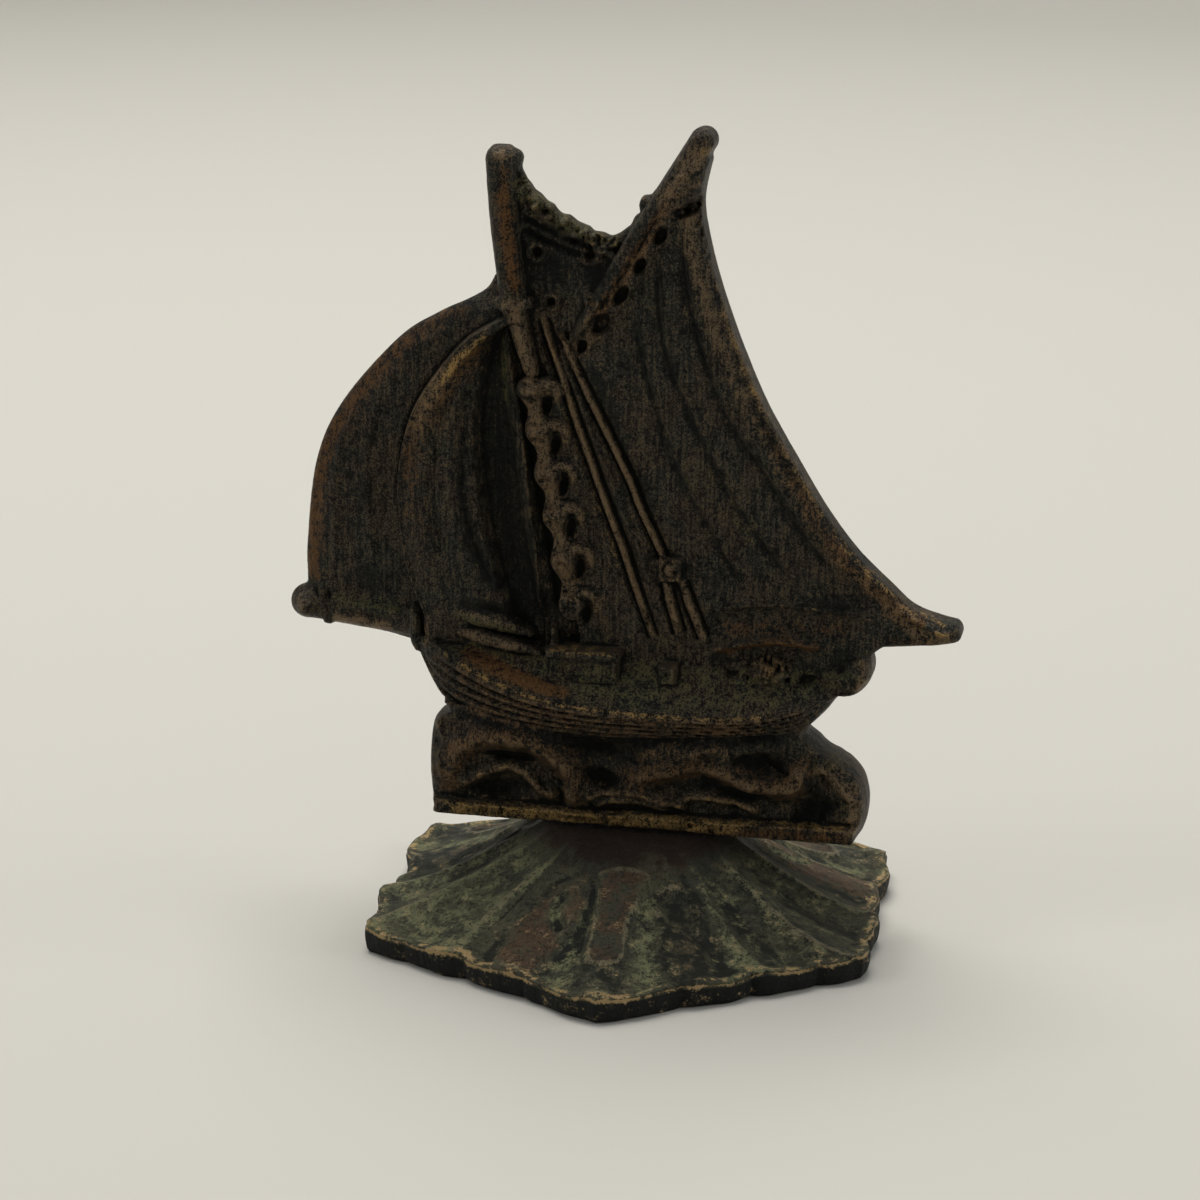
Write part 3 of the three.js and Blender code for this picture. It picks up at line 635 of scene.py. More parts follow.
# %% Lacing of the luff
LUFF_LACING = [(-9.6, 61.0), (-8.6, 56.3), (-7.6, 51.4), (-6.7, 46.7), (-5.8, 41.6), (-4.9, 36.6)]
KNOTS = 6
beads = 1.2 + 0.3 * np.cos(np.linspace(0, 2 * np.pi * (KNOTS - 1), 61) + 0.4)
add_ridge(front, moved(LUFF_LACING, -1.7, -0.2), 0.5, -0.8, ends=0.03)
add_bar(front, LUFF_LACING, beads, 0.45 + 0.9 * beads, flat=3.5)
lacing_path = spline(LUFF_LACING)
add_bar(front, [(-10.4, 61.2), (-8.9, 61.0), (-6.9, 60.6)], [0.9, 1.1, 0.8], [1.3, 1.4, 1.1])
rng = np.random.default_rng(7)
arms = []
for place in np.linspace(0, 0.96, KNOTS) * (len(lacing_path) - 1):
    x, z = lacing_path[int(place)]
    x, z = x + rng.uniform(-0.15, 0.15), z + rng.uniform(-0.3, 0.3)
    arm = [(x + 0.2, z - 0.2), (x + 1.6, z + 0.5), (x + 2.7, z + 0.2), (x + 3.0, z - 0.9), (x + 2.8, z - 1.7)]
    add_spot(front, (x + 1.75, z - 1.9), (0.65, 1.3), -0.9, turn=-12, edge=0.4)
    add_bar(front, arm, [0.8, 0.75, 0.6, 0.35], [1.9, 1.9, 1.75, 1.5])
    arms.append(arm)
    add_ridge(front, [(x - 0.9, z - 1.3), (x, z - 1.0), (x + 0.9, z - 1.5)], 0.2, -0.5, ends=0.2)
    add_ridge(front, [(x - 0.8, z + 0.9), (x + 0.1, z + 0.6), (x + 0.9, z + 0.9)], 0.2, -0.35, ends=0.2)
print(len(arms), "knots of lacing")

# %% Foot of the mainsail
add_ridge(front, [(10.8, 37.1), (13.8, 37.9), (18, 38.3), (22.5, 38.1), (26.5, 37.6), (29.5, 37.1)], 0.3, 0.55)
add_ridge(front, [(10.5, 35.9), (18, 36.7), (27, 36.0)], 1.1, -0.5)
add_ridge(front, [(10.6, 32.8), (13.4, 33.6), (17.4, 34.3), (20.6, 34.3), (23.4, 33.7)], 0.5, 1.3)
print("rigging laid on the sails")

# %% [markdown]
# ### Hull and deck
# The hull is read upwards instead of across: at each place along the boat the depth runs from the dark
# join with the waves, out over the planks to the rail, and back in over the sloping deck to the thin
# wall under the sails. The lapped planks are a saw-tooth along the same height, so they close up towards
# the stem by themselves, as real strakes do.

# %% Hull
STEM, STERN = -24.6, 24.9
KEEL_LINE = [(-24.6, 32.6), (-23.0, 29.6), (-21.6, 26.9), (-19.9, 24.5), (-16, 22.9), (-8, 22.3), (0, 22.1),
             (8, 22.7), (16, 23.5), (20.9, 24.2), (23.4, 26.2), (24.9, 28.2)]
RAIL_LINE = [(-24.6, 32.2), (-20.2, 30.8), (-17.4, 29.6), (-13, 27.8), (-8, 26.5), (-2.5, 25.9), (4, 25.7),
             (10, 25.7), (15.5, 26.0), (20, 26.9), (24.9, 28.7)]
BEAM_LINE = [(-24.6, 1.0), (-20.3, 3.2), (-13, 5.2), (-5, 6.1), (5, 6.25), (14, 6.0), (20, 5.0), (24.9, 3.0)]
DECK_LINE = [(-24.6, 33.2), (-15, 31.4), (0, 30.8), (14, 31.0), (24.9, 31.6)]


def along_boat(points):
    """The height, or width, of a curve at each place along the boat."""
    path = spline(points)
    return np.interp(xs, path[:, 0], path[:, 1])[:, None].astype(np.float32)


keel, rail, beam, deck = (along_boat(points) for points in (KEEL_LINE, RAIL_LINE, BEAM_LINE, DECK_LINE))


def read_up(knots):
    """Depth from below upwards: each knot is a height and a depth, joined by straight lines."""
    depth = np.broadcast_to(knots[0][1], X.shape).astype(np.float32)
    reached = knots[0][0]
    for (_, d0), (z1, d1) in zip(knots[:-1], knots[1:]):
        ahead = np.maximum(z1, reached + 0.05)
        depth = depth + (d1 - d0) * np.clip((Z - reached) / (ahead - reached), 0, 1)
        reached = ahead
    return depth


def hull_depth(inner):
    """Depth of the hull and deck, falling to `inner` under the sails."""
    return read_up([
        (keel - 1.0, 0.1 * beam), (keel - 0.1, 0.6 * beam), (keel + 0.3 * (rail - keel), 0.82 * beam),
        (keel + 0.7 * (rail - keel), 0.95 * beam), (rail - 0.2, beam), (rail + 0.15, 0.985 * beam),
        (rail + 0.5, 0.93 * beam), (rail + 0.5 * (deck - rail), 0.7 * beam),
        (deck - 0.3, np.minimum(0.46 * beam, 2.6)), (deck + 0.5, np.minimum(0.4 * beam, inner)),
        (deck + 1.5, 0 * beam),
    ])


STRAKES = 5
climb = np.clip((Z - keel - 0.15) / np.maximum(rail - keel - 0.15, 0.5), 0, 1) * STRAKES
lap = climb % 1.0
on_planks = smooth(Z - keel, -0.2, 0.3) * smooth(rail + 0.1 - Z, 0, 0.2) * smooth(X, STEM + 1.5, STEM + 5)
plank_height = 0.4 + 0.6 * smooth(X, -23, -15) * smooth(-X, -24, -18)
planks = on_planks * (0.34 * lap - 0.6 * hump(np.minimum(lap, 1 - lap), 0.17)) * plank_height
hull_side = hull_depth(1.5)
shown_hull = hull_side + planks
add_ridge(shown_hull, [(-23.2, 30.4), (-21.9, 27.6), (-20.2, 25.2), (-17.6, 23.2)], 0.3, -0.5)
add_ridge(shown_hull, [(-22.4, 30.6), (-21.1, 27.9), (-19.2, 25.6), (-16.6, 23.5)], 0.25, -0.3)
rail_path = spline(moved(RAIL_LINE[1:-1], 0, 0.2))
add_ridge(shown_hull, None, 0.25, 0.12, path=rail_path)

# the bare wedge of the rail's top that widens aft of the bow
WEDGE = [(-18.8, 30.5), (-15, 29.3), (-10.5, 27.9), (-6.5, 26.9), (-3, 26.4)]
add_ridge(shown_hull, moved(WEDGE, 0, 0.55), 0.3, 0.15, ends=0.3)
add_ridge(shown_hull, moved(WEDGE, 0.3, 1.25), 0.25, -0.2, ends=0.3)
print("hull", round(float(2 * beam.max()), 1), "mm wide with", STRAKES, "strakes a side")

# %% [markdown]
# A cabin with its roof, a small hatch, two furled bundles at the bow and a rough heap aft that may once
# have been the crew are boxes, bars and spots on the same map. The heap is a low mound scattered with
# seeded specks, because in the casting it is a lump that no longer shows what it was.

# %% Deck fittings
add_block(shown_hull, (-7.1, 28.6), (0.6, 31.3), 4.35)
add_block(shown_hull, (-7.5, 31.2), (0.9, 32.3), 4.75)
add_spot(shown_hull, (-3.2, 30.0), (3.2, 0.95), -0.35, edge=0.85)
add_bar(shown_hull, [(-6.9, 32), (-7.2, 34.2)], [0.35, 0.3], [3.0, 1.9])
add_block(shown_hull, (5.3, 29.0), (7.2, 31.1), 4.6)
add_spot(shown_hull, (6.2, 30.2), 0.45, -0.3)
add_bar(shown_hull, [(-18.2, 33.2), (-15.4, 32.7), (-12, 32.0), (-8.6, 31.2)], [0.5, 0.8, 0.75, 0.3],
        [2.4, 2.9, 3.0, 2.6])
add_bar(shown_hull, [(-18.5, 34.9), (-15.6, 34.9), (-12.6, 34.2), (-9.8, 33.1)], [0.5, 1.15, 1.0, 0.4],
        [1.9, 2.3, 2.3, 1.9])
for x, low, high in ((-23.3, 30.6, 34.9), (-21.5, 30.6, 35.0)):
    add_bar(shown_hull, [(x, high), (x + 0.1, (low + high) / 2), (x + 0.25, low)], [0.55, 0.7, 0.6],
            [1.9, 1.7, 1.6])
rng = np.random.default_rng(21)
CREW = (17.4, 31.6)
add_spot(shown_hull, CREW, (3.2, 2.2), 1.3, turn=-6, edge=0.6)
specks = CREW + rng.uniform((-2.4, -1.5), (2.4, 1.5), (130, 2))
for speck in specks:
    add_spot(shown_hull, speck, rng.uniform(0.2, 0.34), rng.choice((-0.4, 0.35)))
DECK_HOLLOWS = [((11.4, 31.6), (1.2, 0.9)), ((13.2, 30.6), (0.9, 1.0)), ((21.6, 30.2), (1.2, 0.8)),
                ((9.4, 31.4), (0.8, 0.8))]
for place, size in DECK_HOLLOWS:
    add_spot(shown_hull, place, size, -0.8, turn=20)
print("deck fitted out")

# %% [markdown]
# ### Block of waves
# Below the keel the boat's sides fall back to an upright wall, and curling crests are laid on it. A
# crest is a ridge with two widths: a broad back and a steep hollow face. The lip around the underside
# stands forward of the wall, worn bright, and ends in a chipped lower edge.

# %% Waves
WALL_DEPTH, LIP_DEPTH, LIP_TOP = 3.0, 4.45, 13.35
BLOCK_TOP = 24.6  # the waves end here, under the hull
BLOCK_FORE = [(-20.3, 11.4), (-21.3, 12.7), (-21.7, 16.4), (-21.5, 20.6), (-20.9, 22.6), (-19.4, 23.4),
              (-17.0, 24.6)]
BLOCK_AFT = [(26.9, 11.4), (28.0, 12.9), (28.4, 15.7), (28.0, 18.0), (26.9, 19.6), (25.2, 20.7),
             (23.7, 21.5), (22.7, 22.4), (20.9, 23.7), (20.5, 25)]
lip_edge = LIP_TOP + 0.12 * grain(1.3, 5) + 0.25 * smooth(X, 14, 26)
wall = WALL_DEPTH + 0.25 * grain(1.6, 3) * smooth(Z, 13.4, 14.4) + 0.14 * grain(0.6, 4)
under_hull = smooth(Z, 20.2, 22.6)
block_depth = wall + 0.5 * under_hull + (LIP_DEPTH - wall) * smooth(lip_edge - Z, -0.3, 0.12)
block_depth[Z > BLOCK_TOP] = 0

# crests run aft, with the open water on their left-hand side
SCROLL = [(-19.3, 13.4), (-18.9, 17), (-17.1, 19.9), (-13.6, 21.2), (-9.2, 20.8), (-6.2, 19.2), (-4.3, 16.9),
          (-4.7, 15.2), (-6.2, 14.9)]
CURL = [(-18.6, 14.0), (-15.8, 16.4), (-12.8, 17.7), (-10.2, 17.3), (-8.6, 15.9), (-7.2, 14.9), (-5.9, 15.1)]
LOW_WAVES = ([(-3.4, 14.5), (-0.9, 15.7), (2.6, 15.8), (6.4, 14.9), (8.6, 14.2)],
             [(-2.6, 14.0), (0.6, 14.7), (4.0, 14.6), (6.6, 14.0)],
             [(7.6, 15.2), (10.4, 15.9), (13.6, 15.6), (17.2, 14.5)])
SWELL = [(0.4, 16.8), (3.4, 17.6), (6.6, 18.6), (9.8, 19.7), (12.6, 19.0), (15.3, 17.9), (18.4, 17.5),
         (20.6, 18.2), (21.0, 19.6), (20.0, 20.9)]
SWELL_TOP = [(2.4, 19.2), (5.4, 21.2), (8.8, 21.7), (12.4, 22.2), (13.6, 20.2)]


def add_waves(depth, strength=1.0):
    """The two great scrolls, the curl inside the first, and the low ripples between them."""
    crests = [(SCROLL, 1.9, 1.7, (0.7, 1.6, 1.7, 1.7)), (SWELL, 2.3, 1.2, (0.8, 1.7, 1.6, 1.7)),
              (SWELL_TOP, 1.7, 1.4, (0.5, 1.1, 0.8)), (CURL, 1.0, 0.85, (1.0, 1.2, 1.1))]
    for points, outer, inner, heights in crests + [(ripple, 0.9, 0.5, (0.9,)) for ripple in LOW_WAVES]:
        add_crest(depth, points, outer, inner, [height * strength for height in heights])


add_waves(block_depth, 1.25)
TROUGHS = [((-13.0, 15.0), (4.2, 1.5), 5), ((-11.6, 19.0), (3.4, 0.7), -4), ((-2.4, 20.8), (4.0, 1.5), -8),
           ((16.4, 19.9), (3.2, 1.6), -8), ((14.4, 16.5), (3.2, 0.9), -5), ((22.6, 15.2), (3.0, 1.7), 10),
           ((-1.2, 17.2), (3.0, 1.1), -20)]
for place, size, turn in TROUGHS:
    add_spot(block_depth, place, size, -0.95, turn, edge=0.2)
add_ridge(block_depth, [(22.4, 20.4), (25.2, 18.8), (26.6, 16.4), (26.2, 13.8)], 0.7, 0.55)
add_ridge(block_depth, [(-20.4, 22.6), (-19.6, 20.4), (-20.1, 18.0), (-19.7, 15.4)], 0.4, 0.4)
add_ridge(block_depth, [(-19, 13.05), (0, 13.05), (26, 13.3)], 0.22, 0.12)
rng = np.random.default_rng(11)
for x, z in zip(rng.uniform(-19, 12, 46), rng.uniform(12.2, 13.3, 46)):
    add_spot(block_depth, (x, z), rng.uniform(0.18, 0.42), -0.3, edge=0.3)
for x in np.linspace(-9, 9, 26):
    add_spot(block_depth, (x + rng.uniform(-0.3, 0.3), 11.5), (0.6, rng.uniform(0.3, 0.75)), -0.5, edge=0.3)
print("waves on the block")

# %% [markdown]
# The stern ends in a rounded lump with three dished places, like the top of a half ball. Then all the
# drawings give their outlines, which are joined with a small fillet, as wax parts are when they are
# stuck together before casting. The joins between the sails and the waves get a wider one.

# %% Stern
STERN_LUMP = (25.7, 31.3)
STERN_HOLLOWS = [((25.2, 32.7), (1.9, 1.7), 12), ((24.5, 32.0), (1.3, 1.4), -20),
                 ((25.9, 33.4), (1.2, 1.1), 30)]
stern_reach = np.hypot((X - STERN_LUMP[0]) / 3.6, (Z - STERN_LUMP[1]) / 3.5)
stern_depth = 3.4 * np.sqrt(np.maximum(1 - stern_reach**2.4, 0)) - 0.001
for centre, size, turn in STERN_HOLLOWS:
    add_spot(stern_depth, centre, size, -0.8, turn, edge=0.8)
add_ridge(stern_depth, [(27.5, 33.6), (28, 31), (26.6, 28.8)], 0.5, 0.3)
add_ridge(stern_depth, [(26.2, 36.2), (26.5, 34.4)], 0.3, 0.4)
print("stern up to", round(float(stern_depth.max()), 2), "mm deep")

# %% Outline of the whole casting
def inside_bar(points, radius):
    """Distance within a round-ended bar."""
    window, near, share, _ = along(spline(points), 6)
    result = np.full(X.shape, NOWHERE, np.float32)
    result[window] = shared(share, radius) - near
    return result


hull_outline = inside(np.vstack([spline(KEEL_LINE), [(24.9, 32.5), (23, 34), (-22.4, 36.2), (-24.2, 33.5)]]))
block_fore, block_aft = (np.interp(zs, spline(edge)[:, 1], spline(edge)[:, 0])[None, :]
                         for edge in (BLOCK_FORE, BLOCK_AFT))
block_outline = np.minimum(np.minimum(X - block_fore, block_aft - X), 24.4 - Z)
stern_outline = 3.0 * (1 - np.hypot((X - 25.5) / 3.15, (Z - 31.5) / 3.1))
MASTHEAD = 87.4
spar_outline = np.maximum.reduce([
    np.minimum(inside_bar(MAST[:4], [1.75, 1.72, 1.6, 1.4]), MASTHEAD - Z),
    inside_bar([(-12.2, 86.2), (-11.7, 86.0)], [1.0, 1.0]),
    inside_bar(GAFF, [1.45, 1.35, 1.25, 1.1, 0.9]),
    inside_bar([(3.6, 81.4), (4.2, 82.0)], [1.5, 0.8]),
    inside_bar([(-0.7, 76.0), (0.4, 77.6), (1.1, 78.4)], [0.6, 0.75, 0.6]),
    inside_bar([(28, 36.0), (34, 36.1), (37.2, 36.15)], [1.7, 1.3, 0.95]),
    inside_bar([(-36.0, 34.65), (-30, 34), (-24.4, 33.5), (-21, 33)], [1.75, 1.9, 2.0, 2.2]),
    inside_bar([KNOB, (-36.2, 34.7)], [1.98, 1.98]),
])
main_rough = 0.3 * grain(0.9, 9) * smooth(Z, 77, 78.5) * smooth(-X, -7, -3)
outline = soft_max(jib_inside, main_inside + main_rough, 0.8)
for part, fillet in ((spar_outline, 0.7), (hull_outline, 0.7), (stern_outline, 0.7), (block_outline, 2.4)):
    outline = soft_max(outline, part.astype(np.float32), fillet)
outline = np.minimum(outline, Z - BOTTOM)
print("casting covers", round(float((outline > 0).sum() * STEP**2)), "mm²")

# %% [markdown]
# ### Two faces of the casting
# The shown face is the largest depth that any of the drawings gives at each crossing. The hidden face
# follows the same outline, but a caster spends less on it: smooth sails with shallow seams, the same
# spars and hull, one rope, and only the large waves.

# %% Shown face
SAILS_END, THIN_WALL = 30.5, 1.2  # below this height the sails are hidden in the hull, and only this deep
front[:] = np.where(Z < SAILS_END, np.minimum(front, THIN_WALL), front)
front = soft_max(front, shown_hull, 0.4)
front = soft_max(front, stern_depth, 0.4)
front = soft_max(front, block_depth, 0.35)
front += 0.05 * grain(1.1, 1) + 0.03 * grain(0.5, 2)
print("shown face up to", round(float(front[outline > 0].max()), 2), "mm deep")

# %% Hidden face
back_sail = np.where(X < x_mast, 1.0 + 0.5 * smooth(jib_inside, 0, 6), 1.75 + 0.2 * band)
topsail = (Z > GAFF_FOOT) & (X > x_mast)
back = np.where(topsail, 1.2 + (back_sail - 1.2) * behind_gaff, back_sail).astype(np.float32)
for seam in SEAMS[:3]:
    add_ridge(back, seam, 0.45, -0.2)
add_ridge(back, STAY_LEECH, 0.6, 0.5)
add_bar(back, MAST, [1.72, 1.7, 1.6, 1.5, 1.4, 1.3], [0.5, 0.6, 0.9, 1.0, 1.0, 0.9])
add_bar(back, GAFF, [1.3, 1.2, 1.15, 1.1, 0.9], [1.0, 1.25, 1.2, 1.1, 0.9], flat=3)
add_bar(back, BOOM, [1.2, 1.4, 1.5, 1.3, 1.0], [1.0, 1.0, 0.9, 0.9, 0.7])
add_bar(back, BOWSPRIT, [1.75, 1.85, 1.9], [0.3, 0.35, 0.4])
add_spot(back, KNOB, 2.05, 0.9, edge=0.3)
add_rope(back, SHROUD, 0.5, 1.6)
back[:] = np.where(Z < SAILS_END, np.minimum(back, THIN_WALL), back)
hidden_block = wall + 0.5 * under_hull + (LIP_DEPTH - wall) * smooth(LIP_TOP - Z, -0.3, 0.12)
hidden_block[Z > BLOCK_TOP] = 0
add_waves(hidden_block, 0.8)
back = soft_max(back, hull_side + 0.7 * planks, 0.4)
back = soft_max(back, 3.2 * np.sqrt(np.maximum(1 - stern_reach**2.4, 0)), 0.4)
back = soft_max(back, hidden_block.astype(np.float32), 0.35)
back += 0.05 * grain(1.1, 6) + 0.03 * grain(0.5, 7)
front, back = (np.minimum(face, boat_high[1] - 0.12) for face in (front, back))
print("hidden face up to", round(float(back[outline > 0].max()), 2), "mm deep")

# %% [markdown]
# ### Wrapping a skin around the drawings
# A point of space belongs to the metal when it is behind the shown face, before the hidden face and
# within the outline. The smallest of those three distances is a field that is positive in the metal, and
# rounding their meeting edges is one more formula. The skin is drawn by surface nets: each small cube
# that the surface passes through gets one vertex, the mean of the places where its edges are cut, and
# each cut edge gets one face between the four cubes around it. No edge is left open, though where metal
# and air meet crosswise the skin can touch itself along an edge.

# %% Field of the metal
DEPTH_STEP = 0.25
ys = np.arange(-boat_high[1] - 0.6, boat_high[1] + 0.6, DEPTH_STEP, dtype=np.float32)
DRAFT = 0.16  # how far the outline draws in for each millimetre away from the middle plane
rounding = (0.55 + 0.25 * smooth(Z, 26, 34) - 0.2 * smooth(15 - Z, 0, 2)).astype(np.float32)
on_block = (smooth(26 - Z, 0, 3) * smooth(Z, BOTTOM + 0.3, BOTTOM + 1.2)).astype(np.float32)


def metal_field():
    """Rounding radius minus the length of the three shortfalls: positive in the metal."""
    y = ys[None, :, None]
    before = np.maximum(rounding[:, None] - (front[:, None] + y), 0)
    behind = np.maximum(rounding[:, None] - (back[:, None] - y), 0)
    draft = DRAFT * np.maximum(np.abs(y) - 1, 0) * (0.35 + on_block[:, None])
    beside = np.maximum(rounding[:, None] - (outline[:, None] - draft), 0)
    return rounding[:, None] - np.sqrt(before**2 + behind**2 + beside**2)


field = metal_field().astype(np.float32)
field[:, :, zs < BOTTOM] = -1
print("field of", field.size // 1000, "thousand points,", int((field > 0).sum()), "in the metal")


# %% Surface nets
def surface_net(field, low, steps):
    """Vertices and four-sided faces of the surface where the field is zero."""
    cells = np.array(field.shape) - 1
    metal = field > 0
    owners, points, faces = [], [], []
    for axis in range(3):
        a = [slice(None)] * 3
        b = [slice(None)] * 3
        a[axis], b[axis] = slice(None, -1), slice(1, None)
        edges = np.argwhere(metal[tuple(a)] != metal[tuple(b)])
        first = field[tuple(edges.T)]
        ahead = edges.copy()
        ahead[:, axis] += 1
        second = field[tuple(ahead.T)]
        place = edges.astype(np.float64)
        place[:, axis] += first / (first - second)
        u, v = (axis + 1) % 3, (axis + 2) % 3
        ring = []
        for du, dv in ((0, 0), (-1, 0), (-1, -1), (0, -1)):
            cell = edges.copy()
            cell[:, u] += du
            cell[:, v] += dv
            ring.append(np.ravel_multi_index(cell.T, cells))
        ring = np.stack(ring, axis=1)
        outward = first > 0
        faces.append(np.where(outward[:, None], ring, ring[:, ::-1]))
        owners.append(ring.ravel())
        points.append(np.repeat(place, 4, axis=0))
    owners, points, faces = np.concatenate(owners), np.vstack(points), np.vstack(faces)
    used, vertex = np.unique(owners, return_inverse=True)
    count = np.bincount(vertex)
    mean = np.stack([np.bincount(vertex, points[:, k]) / count for k in range(3)], axis=1)
    lookup = np.searchsorted(used, faces)
    return low + mean * steps, lookup


low_corner = np.array([xs[0], ys[0], zs[0]])
net_points, net_faces = surface_net(field, low_corner, np.array([STEP, DEPTH_STEP, STEP]))
print(len(net_points), "vertices,", len(net_faces), "faces")


# %% [markdown]
# The net is even everywhere, but a flat sail needs far fewer triangles than a knot. So it is thinned by
# collapsing the edges that change the shape least, down to a number that still holds the lacing.

# %% Put a surface into a mesh
BOAT_TRIANGLES = 196000


def mesh_piece(name, points, *face_sets):
    """A new object at the origin, from points in millimetres and arrays of faces with equal sides."""
    mesh = bpy.data.meshes.new(name)
    mesh.vertices.add(len(points))
    mesh.vertices.foreach_set("co", (points * MM).astype(np.float32).ravel())
    corners = np.concatenate([faces.ravel() for faces in face_sets]).astype(np.int32)
    sides = np.concatenate([np.full(len(faces), faces.shape[1]) for faces in face_sets])
    mesh.loops.add(corners.size)
    mesh.loops.foreach_set("vertex_index", corners)
    mesh.polygons.add(sides.size)
    mesh.polygons.foreach_set("loop_start", (np.cumsum(sides) - sides).astype(np.int32))
    mesh.update(calc_edges=True)
    mesh.validate()
    mesh.shade_smooth()
    piece = bpy.data.objects.new(name, mesh)
    bpy.context.scene.collection.objects.link(piece)
    return piece


def thinned(piece, triangles):
    """Collapses the least useful edges until about that many triangles are left."""
    now = sum(len(polygon.vertices) - 2 for polygon in piece.data.polygons)
    if now > triangles:
        thin = piece.modifiers.new("thin", "DECIMATE")
        thin.ratio = triangles / now
        shown = piece.evaluated_get(bpy.context.evaluated_depsgraph_get())
        piece.data = bpy.data.meshes.new_from_object(shown)
        piece.data.name = piece.name
        piece.modifiers.clear()
        piece.data.shade_smooth()
    return piece


def corners_of(piece):
    """The vertices of a mesh in millimetres, as one array."""
    points = np.empty(len(piece.data.vertices) * 3, np.float32)
    piece.data.vertices.foreach_get("co", points)
    return points.reshape(-1, 3) / MM


boat = thinned(mesh_piece("cast_sailboat", net_points, net_faces), BOAT_TRIANGLES)
print("boat of", len(boat.data.polygons), "faces after thinning")

# %% [markdown]
# ### What wears, what gathers dirt, and where shade is painted
# Hands rub the proud edges of bronze bright, and polish, dust and verdigris stay in its hollows, which are
# also darkened further as painted shade. Both can be measured: around any place on the surface, count how
# much of a small cube of space is metal. A flat place has half, an edge less, a corner still less, and the
# bottom of a groove far more. The counts at two sizes become attributes of the mesh, together with painted
# maps of where this ornament in particular is rubbed, gilt or green, and where shade and highlights are
# painted.

# %% Count the metal around each place
def box_mean(solid, reach):
    """The mean over a box of 2·reach + 1 cells: differences of running sums along each axis."""
    for axis in range(3):
        padding = [(0, 0)] * 3
        padding[axis] = (reach + 1, reach)
        sums = np.cumsum(np.pad(solid, padding, mode="edge"), axis=axis, dtype=np.float32)
        ahead = np.take(sums, range(2 * reach + 1, sums.shape[axis]), axis=axis)
        behind = np.take(sums, range(0, sums.shape[axis] - 2 * reach - 1), axis=axis)
        solid = (ahead - behind) / (2 * reach + 1)
    return solid


def read_space(values, points):
    """Values of a grid in space at the points, blended between the eight nearest crossings."""
    place = (points - low_corner) / np.array([STEP, DEPTH_STEP, STEP])
    base = np.clip(place.astype(int), 0, np.array(values.shape) - 2)
    t = np.clip(place - base, 0, 1)
    total = np.zeros(len(points))
    for corner in np.ndindex(2, 2, 2):
        weight = np.prod(np.where(corner, t, 1 - t), axis=1)
        total += weight * values[tuple((base + corner).T)]
    return total


def read_paper(values, points):
    """Values of a map on the middle plane at the points, by the nearest crossing."""
    i = np.clip(np.rint((points[:, 0] - xs[0]) / STEP).astype(int), 0, xs.size - 1)
    j = np.clip(np.rint((points[:, 2] - zs[0]) / STEP).astype(int), 0, zs.size - 1)
    return values[i, j]


def store(piece, **attributes):
    """Writes arrays with one number for each vertex as attributes of the mesh."""
    for name, values in attributes.items():
        layer = piece.data.attributes.new(name, "FLOAT", "POINT")
        layer.data.foreach_set("value", np.asarray(values, np.float32))


boat_points = corners_of(boat)
solid = (field > 0).astype(np.float32)
around = read_space(box_mean(solid, 2), boat_points)
about = read_space(box_mean(box_mean(solid, 4), 4), boat_points)
print("metal around an edge", round(float(np.quantile(around, 0.02)), 2), "and in a groove",
      round(float(np.quantile(around, 0.98)), 2))

# %% [markdown]
# The measured wear is even, but real wear is not: a hand takes this ornament by the luff of the jib and
# the after edge of the mainsail, and the gilding has lasted only on the lip, while thin painted highlights
# run along the leech and the rail. Five maps on the middle plane say where: rub for brown wear, buff for
# pale tan, gilt for gold and those painted highlights, green for verdigris, grime
# for soot and wax and for painted shade in folds, grooves, pockets and troughs. Each stroke keeps the
# stronger value, so their order doesn't matter.

# %% Paint the maps of wear
rub, buff, gilt, green, grime = (np.zeros(X.shape, np.float32) for _ in range(5))


def paint(target, points, width, amount=1.0, ends=0.05, path=None):
    """Brushes a soft line on a map of wear, keeping the stronger of old and new."""
    window, near, share, _ = along(spline(points) if path is None else path, 2.6 * width)
    stroke = shared(share, np.atleast_1d(amount)) * hump(near, width) * faded(share, ends)
    target[window] = np.maximum(target[window], stroke)


def paint_spot(target, centre, size, amount=1.0, turn=0.0):
    """Brushes an oval spot on a map of wear."""
    spot = np.zeros_like(target)
    add_spot(spot, centre, size, amount, turn, edge=0.1)
    np.maximum(target, spot, out=target)


# brown and orange, where hands have been
paint(rub, moved(JIB_LUFF[:-2], 0.9, -0.3), 1.3, [1.1, 1.1, 1.0, 0.8, 0.6], ends=0.02)
paint(rub, [(-22.6, 42), (-23.1, 49), (-22.5, 54), (-20.8, 58.6), (-18.0, 62.6), (-14.6, 66.2)], 1.5,
      [0.3, 0.6, 0.8, 0.8, 0.8])
paint(rub, moved(MAST[:3], 0.5, 0), 0.75, [0.7, 1.4, 1.5, 1.3])
paint(rub, moved(LEECH[5:-1], -1.2, -0.5), 1.1, [0.5, 0.7, 1.0, 1.2], ends=0.02)
paint(rub, [(29.6, 34.9), (33, 35), (36.4, 35.4)], 0.6, 0.8)
paint(rub, moved(WEDGE, 0, 0.75), 0.7, [0.5, 1.9, 2.2, 1.6, 0.4], ends=0.15)
paint(rub, [(-9.4, 60.2), (-7, 49), (-4.9, 37.5)], 1.2, 0.5)
paint(rub, SCROLL, 1.9, 0.8)
paint(rub, SWELL, 1.7, 0.8)
paint(rub, SWELL_TOP, 0.9, 0.5)
paint(rub, [(11.6, 32.6), (17.4, 34.1), (23.2, 33.8)], 0.5, 1.2)
paint(rub, [(11.6, 35.2), (18, 35.6), (26, 35.4)], 1.0, 0.6)
paint(rub, [(4, 12.4), (16, 12.4), (27.5, 12.6)], 1.1, [0.5, 0.9, 0.9])
for centre, radius in EYELETS:
    paint_spot(rub, centre, 0.8 * radius, 1.2)
